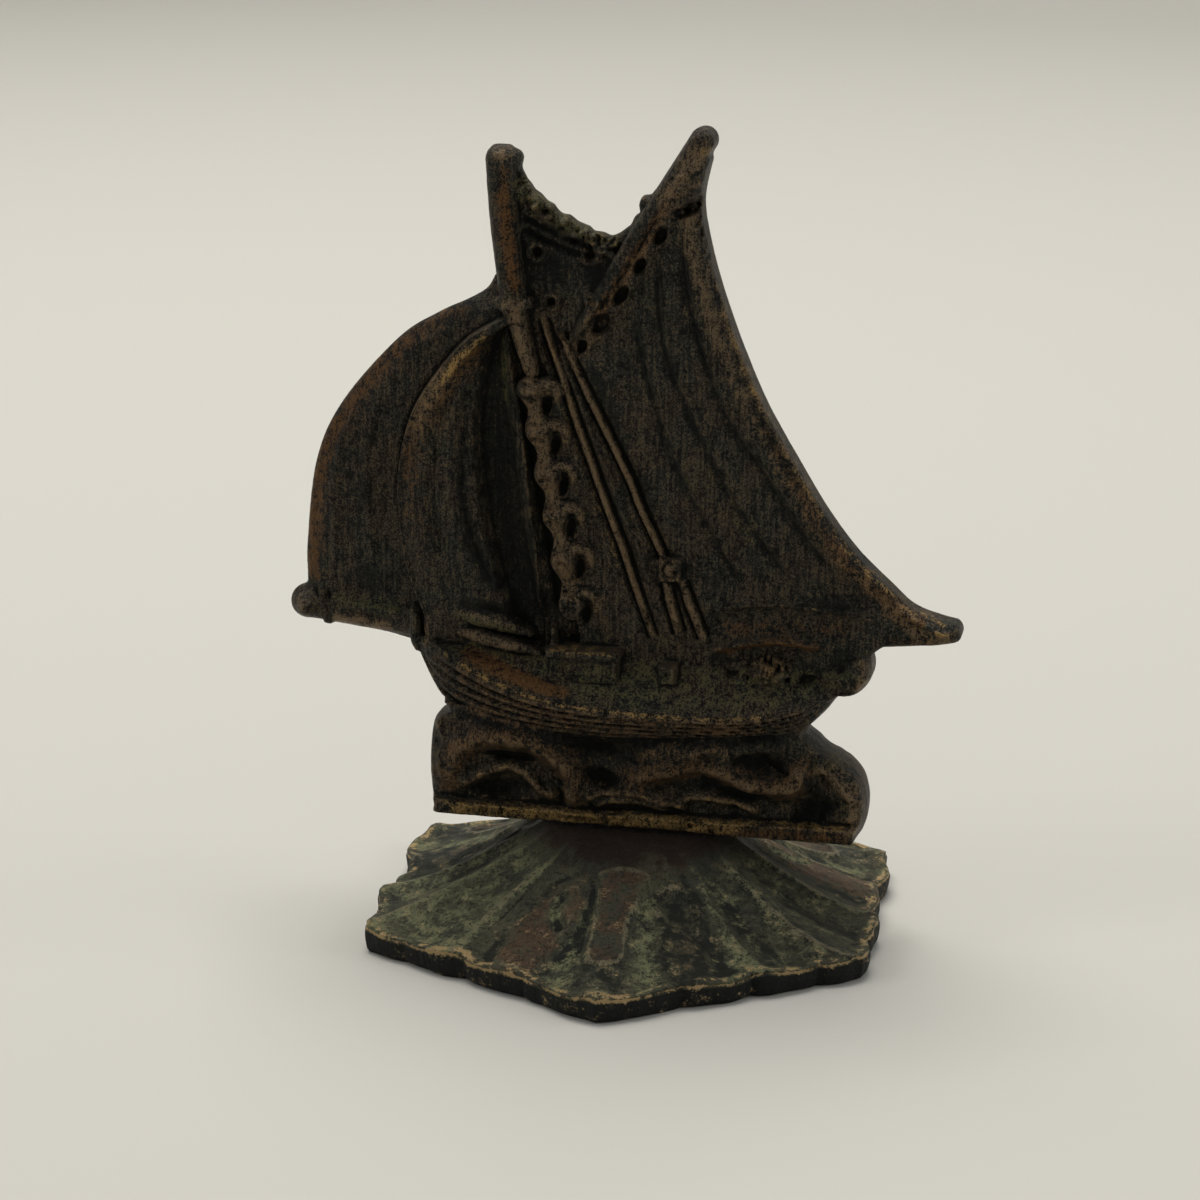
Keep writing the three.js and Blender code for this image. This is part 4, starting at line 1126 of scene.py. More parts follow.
paint(rub, [(6.6, 84.2), (3.6, 78.6), (0.8, 74.0), (-2.4, 68.6)], 0.9, 0.95)
up_planks = smooth(Z - keel, 0, 0.8) * smooth(rail + 0.3 - Z, 0, 0.5)
planks_place = up_planks * smooth(X, -23, -14) * smooth(-X, -23, -12)
np.maximum(rub, 0.6 * planks_place, out=rub)

# pale tan, on the flat proud bands
np.maximum(buff, 0.45 * planks_place, out=buff)
paint(buff, SCROLL, 1.5, 0.6)
paint(buff, SWELL, 1.3, 0.6)
paint(buff, SWELL_TOP, 0.8, 0.5)
for ripple in (*LOW_WAVES, CURL):
    paint(buff, ripple, 0.7, 0.5)
paint(buff, moved(HEAD_BAND, -0.2, 0), 1.1, [0.6, 0.55, 0.5, 0.6, 0.7], ends=0.03)
paint(buff, [(8.9, 87.6), (7.4, 85.4), (5.4, 82.4)], 1.1, [1.2, 1.1, 0.9], ends=0.0)
paint_spot(buff, (-12.5, 86.5), (1.6, 1.1), 1.2)
paint_spot(buff, (9.5, 88.0), (1.2, 1.2), 1.2)
paint(buff, [(-11.4, 70.6), (-10.2, 65.5), (-9.3, 61.6)], 0.8, 1.1)
paint(buff, [(-12.9, 70.4), (-10.0, 70.6)], 0.7, 0.9)
paint(buff, LUFF_LACING, 1.2, 1.0)
for arm in arms:
    paint(buff, arm, 0.6, 0.9)
paint(buff, [(-10.4, 61.2), (-6.9, 60.6)], 0.8, 0.9)
paint(buff, SHROUD, 0.42, 1.1)
paint(buff, TACKLE, 0.42, 1.1)
for fall in FALLS:
    paint(buff, fall, 0.45, 1.0)
paint_spot(buff, PULLEY, 1.7, 0.9)
paint(buff, moved(LEECH[1:-1], -1.7, -0.4), 1.1, [0.9, 0.9, 0.7, 0.5, 0.45, 0.7, 0.9], ends=0.02)
paint(buff, [(7.4, 78), (11.2, 70), (15.5, 61), (20.5, 53), (26.2, 45.5)], 1.9, [0.5, 0.6, 0.5, 0.4])
paint(buff, [(31, 37.6), (34, 36.0), (37.4, 35.7)], 1.0, 0.9)
paint(buff, [(-18.6, 63.4), (-20.8, 60), (-22.0, 55)], 1.6, [0.9, 0.9, 0.5])
paint(buff, [(-19.5, 58), (-21.4, 51)], 1.6, 0.4)
paint(buff, [(27.6, 33.0), (28.0, 31), (27.0, 29)], 1.0, 0.9)
paint(buff, [(-33, 33.2), (-29, 32.9), (-25.6, 32.7)], 1.0, 1.2)
paint(buff, [(-18, 33.1), (-15, 32.6), (-10, 31.6)], 0.6, 0.8)
paint(buff, [(-18, 35.3), (-14.8, 35.1), (-11, 33.9)], 0.5, 0.7)
paint(buff, [(-36.4, 35.6), (-36.2, 34)], 1.1, 0.7)
paint(buff, [(-21.8, 33.6), (-21.7, 31)], 0.5, 0.9)
paint(buff, [(22.4, 20.4), (25.2, 18.8), (27.0, 16.4), (27.0, 12.6)], 0.8, 0.9)
paint_spot(buff, CREW, (2.6, 1.6), 0.9)

# old gilding and bare brass, and painted highlights along the leech and the rail
paint_spot(gilt, (9.3, 87.8), (0.9, 0.8), 0.55)
# painted highlight: a thin bright line along the leech
paint(gilt, moved(LEECH[2:], -0.45, 0), 0.3, [0.3, 0.45, 0.5, 0.6, 0.6, 0.7], ends=0.02)
paint(gilt, GOLD_HEM, 0.55, [0.9, 1.1, 0.8, 0.2])
paint(gilt, [(-20.5, 12.7), (-8, 12.6), (2, 12.5), (10, 12.7), (16, 12.8)], 1.1, [0.9, 1.1, 1.1, 1.0, 0.5])
paint(gilt, [(-2, 13.35), (10, 13.35), (18, 13.55), (25.8, 13.6), (26.9, 14.6)], 0.22, 1.0)
paint(gilt, [(-7.2, 32.1), (0.6, 32.1)], 0.3, 0.7)
paint(gilt, [(31.8, 38.5), (34.4, 36.9), (35.7, 36.3), (37.4, 36.3)], 0.25, [0.3, 0.8, 1.0])
# painted highlight along the rail
paint(gilt, None, 0.26, [0.3, 0.9, 1.0, 1.0, 0.9, 0.5], path=rail_path)
for ripple in (*LOW_WAVES, CURL):
    paint(gilt, ripple, 0.6, 0.35)
paint(gilt, [(-19.0, 15.0), (-17.5, 17.4), (-15, 18.9)], 0.6, 0.45)
paint(gilt, [(-6.3, 61), (-3.7, 53), (-1.4, 46), (0.6, 40)], 0.5, 0.45)
paint(gilt, moved(NOTCH[3:], -0.2, -0.7), 0.8, 0.25)
paint_spot(gilt, CREW, (2.2, 1.3), 0.6)

# verdigris
GREEN_SPOTS = [
    ((3.4, 30.2), (2.0, 1.0), 0.8, 0), ((8.9, 29.9), (1.6, 0.9), 0.7, 0), ((5.2, 33.4), (1.6, 1.0), 0.5, 0),
    ((14.4, 29.2), (3.4, 0.8), 0.5, 0), ((24.4, 20.2), (2.6, 1.3), 0.8, 0), ((26.6, 16), (1.3, 2.8), 0.9, 0),
    ((-1.5, 33.2), (3.2, 1.0), 0.5, 0), ((-20.4, 22), (0.8, 2.2), 0.5, 0), ((11.2, 34.6), (1.2, 0.8), 0.6, 0),
    ((9.5, 52), (2.4, 7.0), 0.3, 25), ((14.0, 47), (2.0, 5.0), 0.3, 25),
]
deck_place = smooth(Z - rail, 0.3, 1.0) * smooth(deck + 0.4 - Z, 0, 0.8) * smooth(X, -22, -17)
np.maximum(green, 0.58 * deck_place, out=green)
paint(green, [(-20.5, 12.4), (-8, 12.3), (2, 12.2), (12, 12.4)], 1.2, 0.8)
paint(green, NOTCH[2:], 1.5, 1.1)
paint(green, [(-12.9, 67.4), (-12.8, 62.8), (-12.7, 58.5)], 0.6, [1.0, 1.0, 0.6])
paint(green, [(-33, 35.9), (-29, 35.4), (-24.6, 34.7)], 0.7, 0.8)
paint(green, [(-18, 34.8), (-14.8, 34.4), (-11, 33.4)], 0.9, 0.85)
paint(green, [(-20.5, 31.4), (-14, 30.5), (-8, 30.0)], 0.9, 0.45)
paint(green, [(-9, 28.2), (2, 27.8), (12, 28.2)], 0.8, 0.35)
for spot in GREEN_SPOTS:
    paint_spot(green, *spot)

# soot and wax, and painted shade: wide dark patches with their amount and turn, then small dark spots
DARK_PATCHES = [
    ((-29.5, 50), (4.0, 13.0), 0.42, -6), ((-28, 61), (3.0, 5.5), 0.35, -35),
    ((-16.8, 50), (3.4, 13), 0.35, -4),
    ((6, 40.5), (12, 3.0), 0.35, 0), ((24, 41), (8, 3.0), 0.4, -25), ((0, 56), (3.4, 9), 0.2, 25),
    ((-6.4, 74.5), (5.5, 4.0), 0.45, 0), ((-2, 28.6), (20, 1.9), 0.3, 0), ((4, 21), (20, 1.6), 0.3, 0),
]
DARK_SPOTS = [
    ((-7.0, 74.5), (4.2, 2.6)), ((-2.6, 74), (3.0, 2.2)), ((-9.8, 20.4), (1.0, 0.6)),
    ((25.2, 32.6), (1.9, 1.9)), ((24.5, 38.6), (5.0, 1.6)), ((-28.5, 38), (4.5, 2.2)),
    ((-13.2, 14.6), (2.8, 1.2)), ((-12.4, 19.2), (3.2, 0.8)), ((0.6, 19.6), (3.0, 1.3)),
    ((10.6, 17.4), (2.8, 1.0)), ((23.0, 16.6), (2.6, 1.8)), ((16.6, 20.2), (2.8, 1.5)),
    ((0.2, 17.0), (2.0, 0.9)), ((12, 31.8), (2.0, 1.2)), ((21.6, 31.4), (1.4, 1.6)),
]
paint(grime, moved(JIB_LUFF[:-2], 1.2, -0.3), 1.6, 0.5)
# painted shade in the troughs between the waves
for place, size, turn in TROUGHS:
    paint_spot(grime, place, (size[0] * 1.2, size[1] * 1.3), 1.05, turn)
for smear in DARK_PATCHES:
    paint_spot(grime, *smear)
# the dark spots are painted shade in the wave troughs, the stern's hollows and the deck's hollows
for place, size in DARK_SPOTS:
    paint_spot(grime, place, size, 0.85)
# painted shade in the pockets under the lacing's arms
for arm in arms:
    paint_spot(grime, (arm[1][0], arm[1][1] - 2.4), (0.7, 1.2), 1.0)
# painted shade along the seams and creases
for seam in SEAMS:
    paint(grime, seam, 0.55, 0.75)
for crease in CREASES:
    paint(grime, crease, 0.45, 1.1)
# painted shade under the gaff's band, beside the ropes and the lacing, in the deep fold and at the staysail's
# foot by the mast, where the hull meets the waves, and under the furled bundle
paint(grime, moved(HEAD_BAND[1:], 0.2, 1.2), 0.6, 0.8)
paint(grime, [(-3.2, 64.5), (-0.4, 58), (2.0, 52), (3.9, 47.5)], 0.9, 0.7)
paint(grime, moved(FOLD, 0.2, 0), 1.9, [0.9, 1.4, 1.5, 1.4, 1.3, 0.7, 0.2], ends=0.02)
paint(grime, [(-17, 57), (-17.4, 49), (-15.6, 42), (-13, 37.6)], 0.9, [0.3, 0.8, 1.1, 1.1])
paint(grime, [(-12.5, 37.5), (-8.8, 36.2), (-6.8, 37)], 1.7, 1.3)
paint(grime, moved(LUFF_LACING, -1.9, 0), 0.7, 0.9)
paint(grime, [(-19.6, 24.2), (-8, 21.9), (2, 21.7), (12, 22.6), (20.4, 23.6)], 0.6, 1.1)
paint(grime, [(-18, 36.4), (-13.5, 36), (-9.6, 34.6)], 0.8, 1.2)
print("wear painted over", round(float((rub > 0.3).mean() * 100)), "% of the paper")

# %% Give the boat its attributes
shown = smooth(-boat_points[:, 1], -0.8, 0.8)
store(
    boat,
    edge=smooth(0.5 - around, 0.03, 0.26),
    proud=smooth(0.5 - about, 0.03, 0.22) * smooth(30 - boat_points[:, 2], -2, 4),
    # hollow and crease take the colour near black below: patina, and painted shade
    hollow=smooth(about - 0.5, 0.02, 0.2),
    crease=smooth(around - 0.5, 0.03, 0.17),
    rub=read_paper(rub, boat_points) * (0.5 + 0.5 * shown),
    buff=read_paper(buff, boat_points) * (0.35 + 0.65 * shown),
    gilt=read_paper(gilt, boat_points) * (0.25 + 0.75 * shown),
    green=read_paper(green, boat_points) * (0.4 + 0.6 * shown),
    grime=read_paper(grime, boat_points) * (0.6 + 0.4 * shown),
)
print("attributes:", [layer.name for layer in boat.data.attributes if layer.domain == "POINT"])

# %% [markdown]
# ## The leaf foot
# The foot is a trumpet-shaped shell, six-sided in plan, with a leaf ornament on every second corner and
# broad flutes between, cast hollow and standing on its rim. It could be modelled as one sector and
# copied around, but the old pattern is uneven, so it is a surface of two parameters instead: an angle
# around the foot and a place on the way out from the neck to the rim, over the rim's edge and back
# inside.

# %% Plan and profile of the foot
COLUMNS, LEAVES = 640, 3
SECTOR = 360 / LEAVES
FRONT_CORNER = -86.0  # direction of the front leaf, in degrees
CORNER_RADIUS = 32.15
LONG_CORNER, LONGER_BY = 300.0, 0.85  # the left front corner in degrees from the front leaf, its extra reach
NECK_RADIUS, NECK_TOP = 10.0, foot_high[2]
RIM_TOP, RING_WIDTH, WALL = 2.5, 2.6, 2.2
NOTCHES = np.array([-18, 18, 35.5, 51, 69, 84.5, 102])
FOOT_X = 1.95  # the foot's middle along the boat, a little aft of the boat's
OUTER_LOBES = [(80, 4, 0.45), (108, 5, 0.9), (121, 4, 0.6), (252, 6, 1.3), (266, 3, -0.5), (279, 5, 0.9)]

degrees = np.arange(COLUMNS) * 360 / COLUMNS
within_sector = (degrees - NOTCHES[0]) % SECTOR + NOTCHES[0]
from_leaf = (degrees + SECTOR / 2) % SECTOR - SECTOR / 2


def wander(step, seed, reach):
    """Seeded noise around the foot: a few sine waves whose number around the rim is whole."""
    rng = np.random.default_rng(seed)
    waves = np.arange(1, reach + 1) * step
    phase, size = rng.uniform(0, 2 * np.pi, reach), rng.uniform(0.3, 1, reach)
    turns = np.radians(degrees)[None] * waves[:, None] + phase[:, None]
    return (size[:, None] * np.sin(turns)).sum(0) / reach**0.5


def rim_radius():
    """A hexagon's edge with its corners eased, drawn in to a notch wherever two lobes of the rim meet."""
    from_side = degrees % 60 - 30
    hexagon = CORNER_RADIUS * math.cos(math.pi / 6) / np.cos(np.radians(from_side))
    eased = hexagon - 0.5 * hump(np.abs(from_side) - 30, 3) + LONGER_BY * hump(degrees - LONG_CORNER, 20)
    for place, width, size in OUTER_LOBES:
        eased = eased + size * hump(degrees - place, width)
    lobe = np.clip(np.searchsorted(NOTCHES, within_sector, side="right") - 1, 0, NOTCHES.size - 2)
    across = (within_sector - NOTCHES[lobe]) / (NOTCHES[lobe + 1] - NOTCHES[lobe])
    notch = 1 - np.sqrt(np.sin(np.pi * np.clip(across, 0.004, 0.996)))
    return eased - 0.9 * notch + 0.16 * wander(5, 2, 9) - 0.1


RIM = rim_radius()
ROWS = 92
out = (np.linspace(0, 1, ROWS) ** 0.92)[:, None]
radius = NECK_RADIUS + out * (RIM[None] - NECK_RADIUS)
print("rim from", round(float(RIM.min()), 2), "to", round(float(RIM.max()), 2), "mm")

# %% [markdown]
# Between the leaves the skin is swept into broad flutes that meet in ridges, and a fine raised line runs
# along each ridge. Both grow out of the smooth neck and die away before the rim. A leaf is five rounded
# shapes, each given by the distance within its outline, so one smooth step turns it into relief and a
# narrow bell near the outline into its beaded border.

# %% Flutes
RIDGES = np.array([-38, 38, 58, 82])


def flutes():
    """Ridges on the radii between the leaves, with broad hollows between: a power of the way across."""
    flute = (degrees - RIDGES[1]) % SECTOR + RIDGES[1]
    place = flute[None] + 3.5 * np.sin(np.pi * out)  # the ridges swing a little on their way out
    lane = np.clip(np.searchsorted(RIDGES[1:], place) - 1, 0, 1)
    low, high = RIDGES[1:][lane], RIDGES[2:][lane]
    across = np.clip((place - low) / (high - low), 0, 1)
    hollows = np.abs(2 * across - 1) ** 1.6
    between = flute[None] < RIDGES[3]
    off = np.min(np.abs(place[..., None] - RIDGES[1:]), axis=2)
    off = np.minimum(off, np.abs(place - (RIDGES[0] + SECTOR)))
    return np.where(between, hollows, 0), between, radius * np.radians(off)


hollows, between, off_ridge = flutes()
fade = np.sin(np.pi / 2 * np.clip(out * 1.5 + 0.1, 0, 1)) * (1 - 0.6 * out**3)
border = hump(np.abs(from_leaf[None] + 2.5 * np.sin(np.pi * out) * np.sign(from_leaf)) - RIDGES[1], 4.6)
line_strength = np.clip(0.7 + 0.5 * wander(3, 12, 8)[None] * np.sin(5 * out), 0.1, 1.3)
line = hump(off_ridge, 0.5) * smooth(out, 0.05, 0.3) * line_strength
ridge_height = np.where(between, 1.1 * hollows, border) * fade + 0.28 * line * fade
print("ridges up to", round(float(ridge_height.max()), 2), "mm")

# %% Leaf ornament
# Places on a leaf: how far sideways, and how far from the middle of the foot.
angle_on_leaf = np.radians(from_leaf)[None]
across_leaf = (radius * np.sin(angle_on_leaf)).astype(np.float32)
down_leaf = (radius * np.cos(angle_on_leaf)).astype(np.float32)
LEFT_LOBE = [(-3.9, 12.9), (-3.0, 15), (-3.9, 19), (-6.2, 23.4), (-9.0, 26.2), (-11.8, 25.2), (-12.4, 21.8),
             (-11.0, 17.8), (-8.8, 14.8), (-6.2, 13)]
LEFT_SLIT = [(-6.2, 14.9), (-6.6, 16.6), (-5.9, 18.6)]
TONGUE = [(-2.4, 12.4), (0, 12.0), (3.4, 12.4), (2.7, 15.2), (1.8, 19), (1.7, 24.2), (-2.0, 24.6), (-2.2, 19),
          (-2.2, 15.4)]
TONGUE_TIP = [(-2.0, 23.0), (1.8, 23.0), (3.4, 27.6), (0, 29.6), (-4.0, 27.8)]
RIGHT_BODY = [(4.6, 17.2), (7.4, 17.0), (10.4, 19.4), (11.6, 23.0), (10.2, 26.4), (6.8, 25.8), (5.2, 22)]
RIGHT_HOOK = [(4.6, 16.6), (4.4, 14.6), (5.8, 13.0), (7.8, 13.4), (9.0, 15.2), (9.2, 17.8)]


def leaf_part(corners):
    """Distance within one part of the leaf, its outline rounded by a spline."""
    closed = spline([*corners, corners[0]], 5)[:-1]
    return inside(closed, across_leaf, down_leaf)


left, tongue, tip, right = (leaf_part(corners) for corners in (LEFT_LOBE, TONGUE, TONGUE_TIP, RIGHT_BODY))
hook = 1.1 - nearest(spline(RIGHT_HOOK), across_leaf, down_leaf)[0]
slit = 0.75 - nearest(spline(LEFT_SLIT), across_leaf, down_leaf)[0]
right = np.maximum(right, hook)
relief = (
    0.5 * smooth(left, -1.0, 1.4) + 0.45 * smooth(left, 0, 3)
    - 0.6 * smooth(slit, -0.5, 0.7) * smooth(left, 0, 1)
    + 0.45 * smooth(tongue, -0.7, 0.6) - 0.25 * smooth(tongue, 0.4, 1.3) + 0.2 * smooth(tip, -0.6, 1.2)
    + 0.45 * smooth(right, -1.0, 1.4) + 0.35 * smooth(right, 0, 2.4)
)
veins = 0.1 * hump(left - 1.1, 0.3) + 0.12 * hump(tongue - 0.15, 0.22) + 0.08 * hump(right - 0.9, 0.3)
print("leaf relief up to", round(float(relief.max()), 2), "mm")

# %% [markdown]
# The skin is the trumpet's profile plus everything raised on it. It is turned over the rim in six more
# rings, stands on a narrow ring, and goes back up inside as a hollow that follows the profile one wall's
# thickness lower. Two fans of triangles close it at the neck and at the top of the hollow.

# %% Skin of the foot
rim_lip = 0.42 * hump((1 - out) * (RIM[None] - NECK_RADIUS) - 0.7, 0.7) * (0.6 + 0.5 * wander(7, 5, 6))
knob = 0.7 * hump(np.hypot(across_leaf, down_leaf - 30.0), 1.5)
profile = RIM_TOP + (NECK_TOP - RIM_TOP) * (1 - out) ** 1.7
uneven = 0.1 * wander(3, 1, 12)[None] * smooth(out, 0.05, 0.3)
lobes = -0.7 * (1 - np.sqrt(np.clip((RIM - RIM.min()) / 1.2, 0, 1)))[None] * smooth(out, 0.8, 1) * 0.6
height = profile + ridge_height + relief + veins + rim_lip + uneven + lobes + knob
height = np.minimum(height, NECK_TOP)
height[0] = NECK_TOP
print("skin rises from", round(float(height[-1].min()), 2), "to", round(float(height[0].max()), 2), "mm")

# %% The rim's edge, the ring it stands on, and the hollow
rough = 0.3 * wander(11, 3, 14) + 0.16 * wander(37, 4, 9)
rings = [(radius[i], height[i]) for i in range(ROWS - 1)]
top = height[-1] - 0.15
under = np.clip(0.22 + 0.2 * wander(4, 6, 8), 0.0, 0.6)
rings.append((RIM - 0.25, top))
for share in (0.12, 0.3, 0.5, 0.7, 0.86, 1.0):
    inset = 0.05 + 0.3 * share**2 - 0.25 * rough * math.sin(math.pi * share)
    rings.append((RIM - inset - 0.12 * (share == 1.0), top * (1 - share) + under * share - 0.12 * (share < 0.2)))
rings.append((RIM - 0.9, np.zeros(COLUMNS)))
rings.append((RIM - RING_WIDTH, np.zeros(COLUMNS)))
HOLLOW_ROWS = 22
for share in np.linspace(0.96, 0, HOLLOW_ROWS):
    inner = NECK_RADIUS - 4 + share * (RIM - RING_WIDTH - NECK_RADIUS + 4)
    roof = RIM_TOP + (NECK_TOP - RIM_TOP) * (1 - share) ** 1.7 - WALL
    rings.append((inner, np.maximum(roof * np.ones(COLUMNS), 0.4)))

ring_radius = np.stack([ring[0] for ring in rings])
ring_height = np.stack([ring[1] for ring in rings])
theta = np.radians(degrees + FRONT_CORNER)[None]
foot_grid = np.stack([FOOT_X + ring_radius * np.cos(theta), ring_radius * np.sin(theta), ring_height], axis=2)
poles = np.array([[FOOT_X, 0, NECK_TOP], [FOOT_X, 0, ring_height[-1].mean()]])
foot_points = np.vstack([foot_grid.reshape(-1, 3), poles])

row, column = np.meshgrid(np.arange(len(rings) - 1), np.arange(COLUMNS), indexing="ij")
following = (column + 1) % COLUMNS
quads = np.stack([row * COLUMNS + column, (row + 1) * COLUMNS + column, (row + 1) * COLUMNS + following,
                  row * COLUMNS + following], axis=2).reshape(-1, 4)
around_once = np.arange(COLUMNS)
next_once = (around_once + 1) % COLUMNS
top_fan = np.stack([np.full(COLUMNS, len(foot_points) - 2), around_once, next_once], axis=1)
last = (len(rings) - 1) * COLUMNS
roof_fan = np.stack([np.full(COLUMNS, len(foot_points) - 1), last + next_once, last + around_once], axis=1)
foot = mesh_piece("leaf_foot", foot_points, quads, top_fan, roof_fan)
print("foot of", len(quads), "faces and two fans")

# %% [markdown]
# Worn and sheltered places of the foot come from its own relief: what stands above the mean of its
# surroundings is raised, what lies below is hollow, and the difference over a few columns only is an
# edge. The leaves, the rim's bright line, which is bare brass with a painted highlight, and the painted
# shade on the rim's outer face are masks from the same distances. Painted shade on one side of the foot
# and on parts of each leaf is added to the hollows.

# %% Wear of the foot
def rolled_mean(values, reach):
    """The mean of a ring-shaped sheet over a square of 2·reach + 1 cells, wrapping around the foot."""
    wide = sum(np.roll(values, shift, axis=1) for shift in range(-reach, reach + 1)) / (2 * reach + 1)
    padded = np.pad(wide, ((reach, reach), (0, 0)), mode="edge")
    return sum(padded[shift:shift + len(values)] for shift in range(2 * reach + 1)) / (2 * reach + 1)


bare = height - profile
raised = bare - rolled_mean(bare, 9)
fine = bare - rolled_mean(bare, 3)


def for_rings(values, rest=0.0):
    """Numbers for every vertex of the foot from numbers for its outer skin; the rest get one value."""
    whole = np.full(len(foot_points), rest, float)
    whole[:(ROWS - 1) * COLUMNS] = values[:-1].ravel()
    return whole


steps = np.arange(len(rings))[:, None] * np.ones(COLUMNS)[None]
on_edge = ((steps >= ROWS) & (steps < ROWS + 7)).astype(float)
rim_line = hump((1 - out) * (RIM[None] - NECK_RADIUS) - 0.75, 0.55) * (0.55 + 0.45 * wander(9, 8, 7))
rim_line = np.vstack([rim_line[:-1], np.ones((1, COLUMNS)), np.zeros((len(rings) - ROWS, COLUMNS))])
patch = smooth(left, -0.6, 1.6) * (1 - smooth(slit, -0.5, 0.3))
patch = np.clip(patch + 0.7 * smooth(tongue, -0.4, 0.8) + 0.35 * smooth(right, -0.6, 1.4), 0, 1)
shade = 0.7 * smooth(tip, -0.5, 1) + 0.75 * smooth(right, -0.5, 1) + 0.5 * hump(left + 0.5, 0.5)
gaps = hump(np.abs(across_leaf) - 3.1 - 0.12 * (down_leaf - 13), 1.5) * smooth(down_leaf, 13, 17)
gaps = gaps + smooth(slit, -0.4, 0.4) * smooth(left, 0, 1)
gaps = gaps + 0.8 * smooth(across_leaf, 11, 13) * smooth(down_leaf, 16, 22)
on_leaf = (np.abs(from_leaf) < RIDGES[1])[None]
# painted shade on the flutes to the right of the front leaf; it darkens the hollows and thins the green
shadow_side = hump(degrees - 60, 32)[None] * (0.6 + 0.4 * hollows)
verdigris_less_in_shade = gaps * on_leaf * (1 - patch) + (0.75 - 0.6 * shadow_side) * (~on_leaf)
outward = np.vstack([out[:-1] * np.ones(COLUMNS), np.ones((len(rings) - ROWS + 1, COLUMNS))])
store(
    foot,
    edge=for_rings(np.clip(smooth(fine, 0.05, 0.15) + 0.7 * line * fade, 0, 1)),
    # hollow: recesses of the relief, with painted shade on parts of each leaf and on the shadow side
    hollow=for_rings(np.clip(smooth(-raised, 0.02, 0.3) + shade * on_leaf + 0.65 * shadow_side, 0, 1), 0.3),
    raised=for_rings(smooth(raised, 0.02, 0.3)),
    leaf=for_rings(patch * on_leaf),
    green=for_rings(np.clip(verdigris_less_in_shade, 0, 1)),
    # rim marks the painted highlight on the rim's top edge, side the painted shade on its outer face, and
    # outward the neck's painted shade
    rim=np.append(rim_line.ravel(), (0, 0)),
    side=np.append(on_edge.ravel(), (0, 0)),
    outward=np.append(outward.ravel(), (0, 1)),
)
print("foot attributes stored")

# %% [markdown]
# ## Old bronze
# The brass was darkened to a bronze brown when it was new. Since then the proud places have been rubbed
# back towards the metal, brown then orange then gold, and the hollows have gone green-black; painted shade
# darkens the hollows further, and a few gold lines are painted highlights. The colour is built up in that
# order, from broad clouds to fine grain, and the same masks drive how rough and how metallic each place is.

# %% Bronzed brass of the boat
def bronzed_brass():
    """Bronze brown, then tan, gold with painted highlights, verdigris, and dirt with painted shade, each blended
    in where its mask and the noise agree.
    """
    material, surface = new_material("bronzed_brass")
    clouds = noise(0.25, 4, 0.6).span(0.38, 0.62)
    blotches = noise(0.8, 5, 0.7).span(0.34, 0.66)
    mottle = noise(2.4, 4, 0.75).span(0.34, 0.66)
    fine = noise(5.2, 3, 0.7).span(0.33, 0.67)
    streaks = noise(1, 4, 0.65, stretched((3.0, 3.0, 0.3), (0, 0.12, 0))).span(0.36, 0.64)
    edge, hollow, crease = attribute("edge"), attribute("hollow"), attribute("crease")
    rub, buff, gilt, green, grime = (attribute(name) for name in ("rub", "buff", "gilt", "green", "grime"))
    grain = fine * 0.5 + mottle * 0.22 + streaks * 0.28  # about 0.5, rarely past 0.1 or 0.9

    colour = blend(clouds, (0.042, 0.030, 0.019), (0.021, 0.025, 0.019))
    colour = blend(grain.span(0.45, 0.85) * 0.9, colour, (0.108, 0.083, 0.052))
    # darker tone from grime, which is soot and painted shade, and from random clouds
    dim = (grime + (0.5 - grain) * 0.3 + (0.5 - blotches) * 0.5 + (clouds - 0.5) * 0.3).span(0.1, 0.7)
    colour = blend(dim * 0.8, colour, (0.0115, 0.0135, 0.0110))
    verdigris = (green + (grain - 0.5) * 0.9 + (blotches - 0.5) * 0.8).span(0.3, 1.05)
    colour = blend(verdigris * 0.85, colour, (0.094, 0.086, 0.038))
    worn = (rub + (grain - 0.5) * 1.0 + (blotches - 0.5) * 0.7).span(0.3, 1.3)
    colour = blend(worn * 0.9, colour, (0.135, 0.066, 0.023))
    standing = buff + edge * (0.6 - rub * 0.4) + attribute("proud") * 0.4
    lift = (standing + (grain - 0.5) * 0.8 + (blotches - 0.5) * 0.45).span(0.25, 1.3)
    colour = blend(lift * 0.9, colour, (0.190, 0.130, 0.071))
    # gold: old gilding, and painted highlights along the leech and the rail
    bright = (gilt + edge * 0.3 + (grain - 0.5) * 1.1 + (blotches - 0.5) * 0.6).span(0.5, 1.25)
    colour = blend(bright * 0.9, colour, (0.32, 0.205, 0.075))
    colour = blend(grain.span(0.55, 0.22) * (0.94 - lift * 0.45 - worn * 0.25), colour, (0.0036, 0.0030, 0.0020))
    # hollows and creases go near black: patina, and painted shade
    dirt_and_shade = (hollow * 0.8 + crease * 0.95 + (grime - 0.4) * 0.8 + (0.5 - grain) * 0.7).span(0.15, 0.95)
    colour = blend(dirt_and_shade * 0.93, colour, (0.0036, 0.0040, 0.0028))
    pits = (blotches * 0.5 + mottle * 0.5).span(0.27, 0.17)
    colour = blend(pits * 0.85, colour, (0.003, 0.002, 0.0015))

    rough = 0.43 - lift * 0.1 - bright * 0.12 + dirt_and_shade * 0.25 + (grain - 0.5) * 0.3
    relief = mottle * 0.3 + fine * 0.25 + streaks * 0.15 + blotches * 0.3 - pits * 0.5
    bump = {"Strength": 1.0, "Distance": 0.16 * MM, "Height": relief}
    metallic = 0.12 + worn * 0.2 + lift * 0.25 + bright * 0.4 - dirt_and_shade * 0.12
    plug(
        surface, Base_Color=colour, Roughness=rough.clip(), Metallic=metallic.clip(),
        Normal=Wire.node("ShaderNodeBump", None, bump), Specular_IOR_Level=0.16,
    )
    return material


boat.data.materials.append(bronzed_brass())
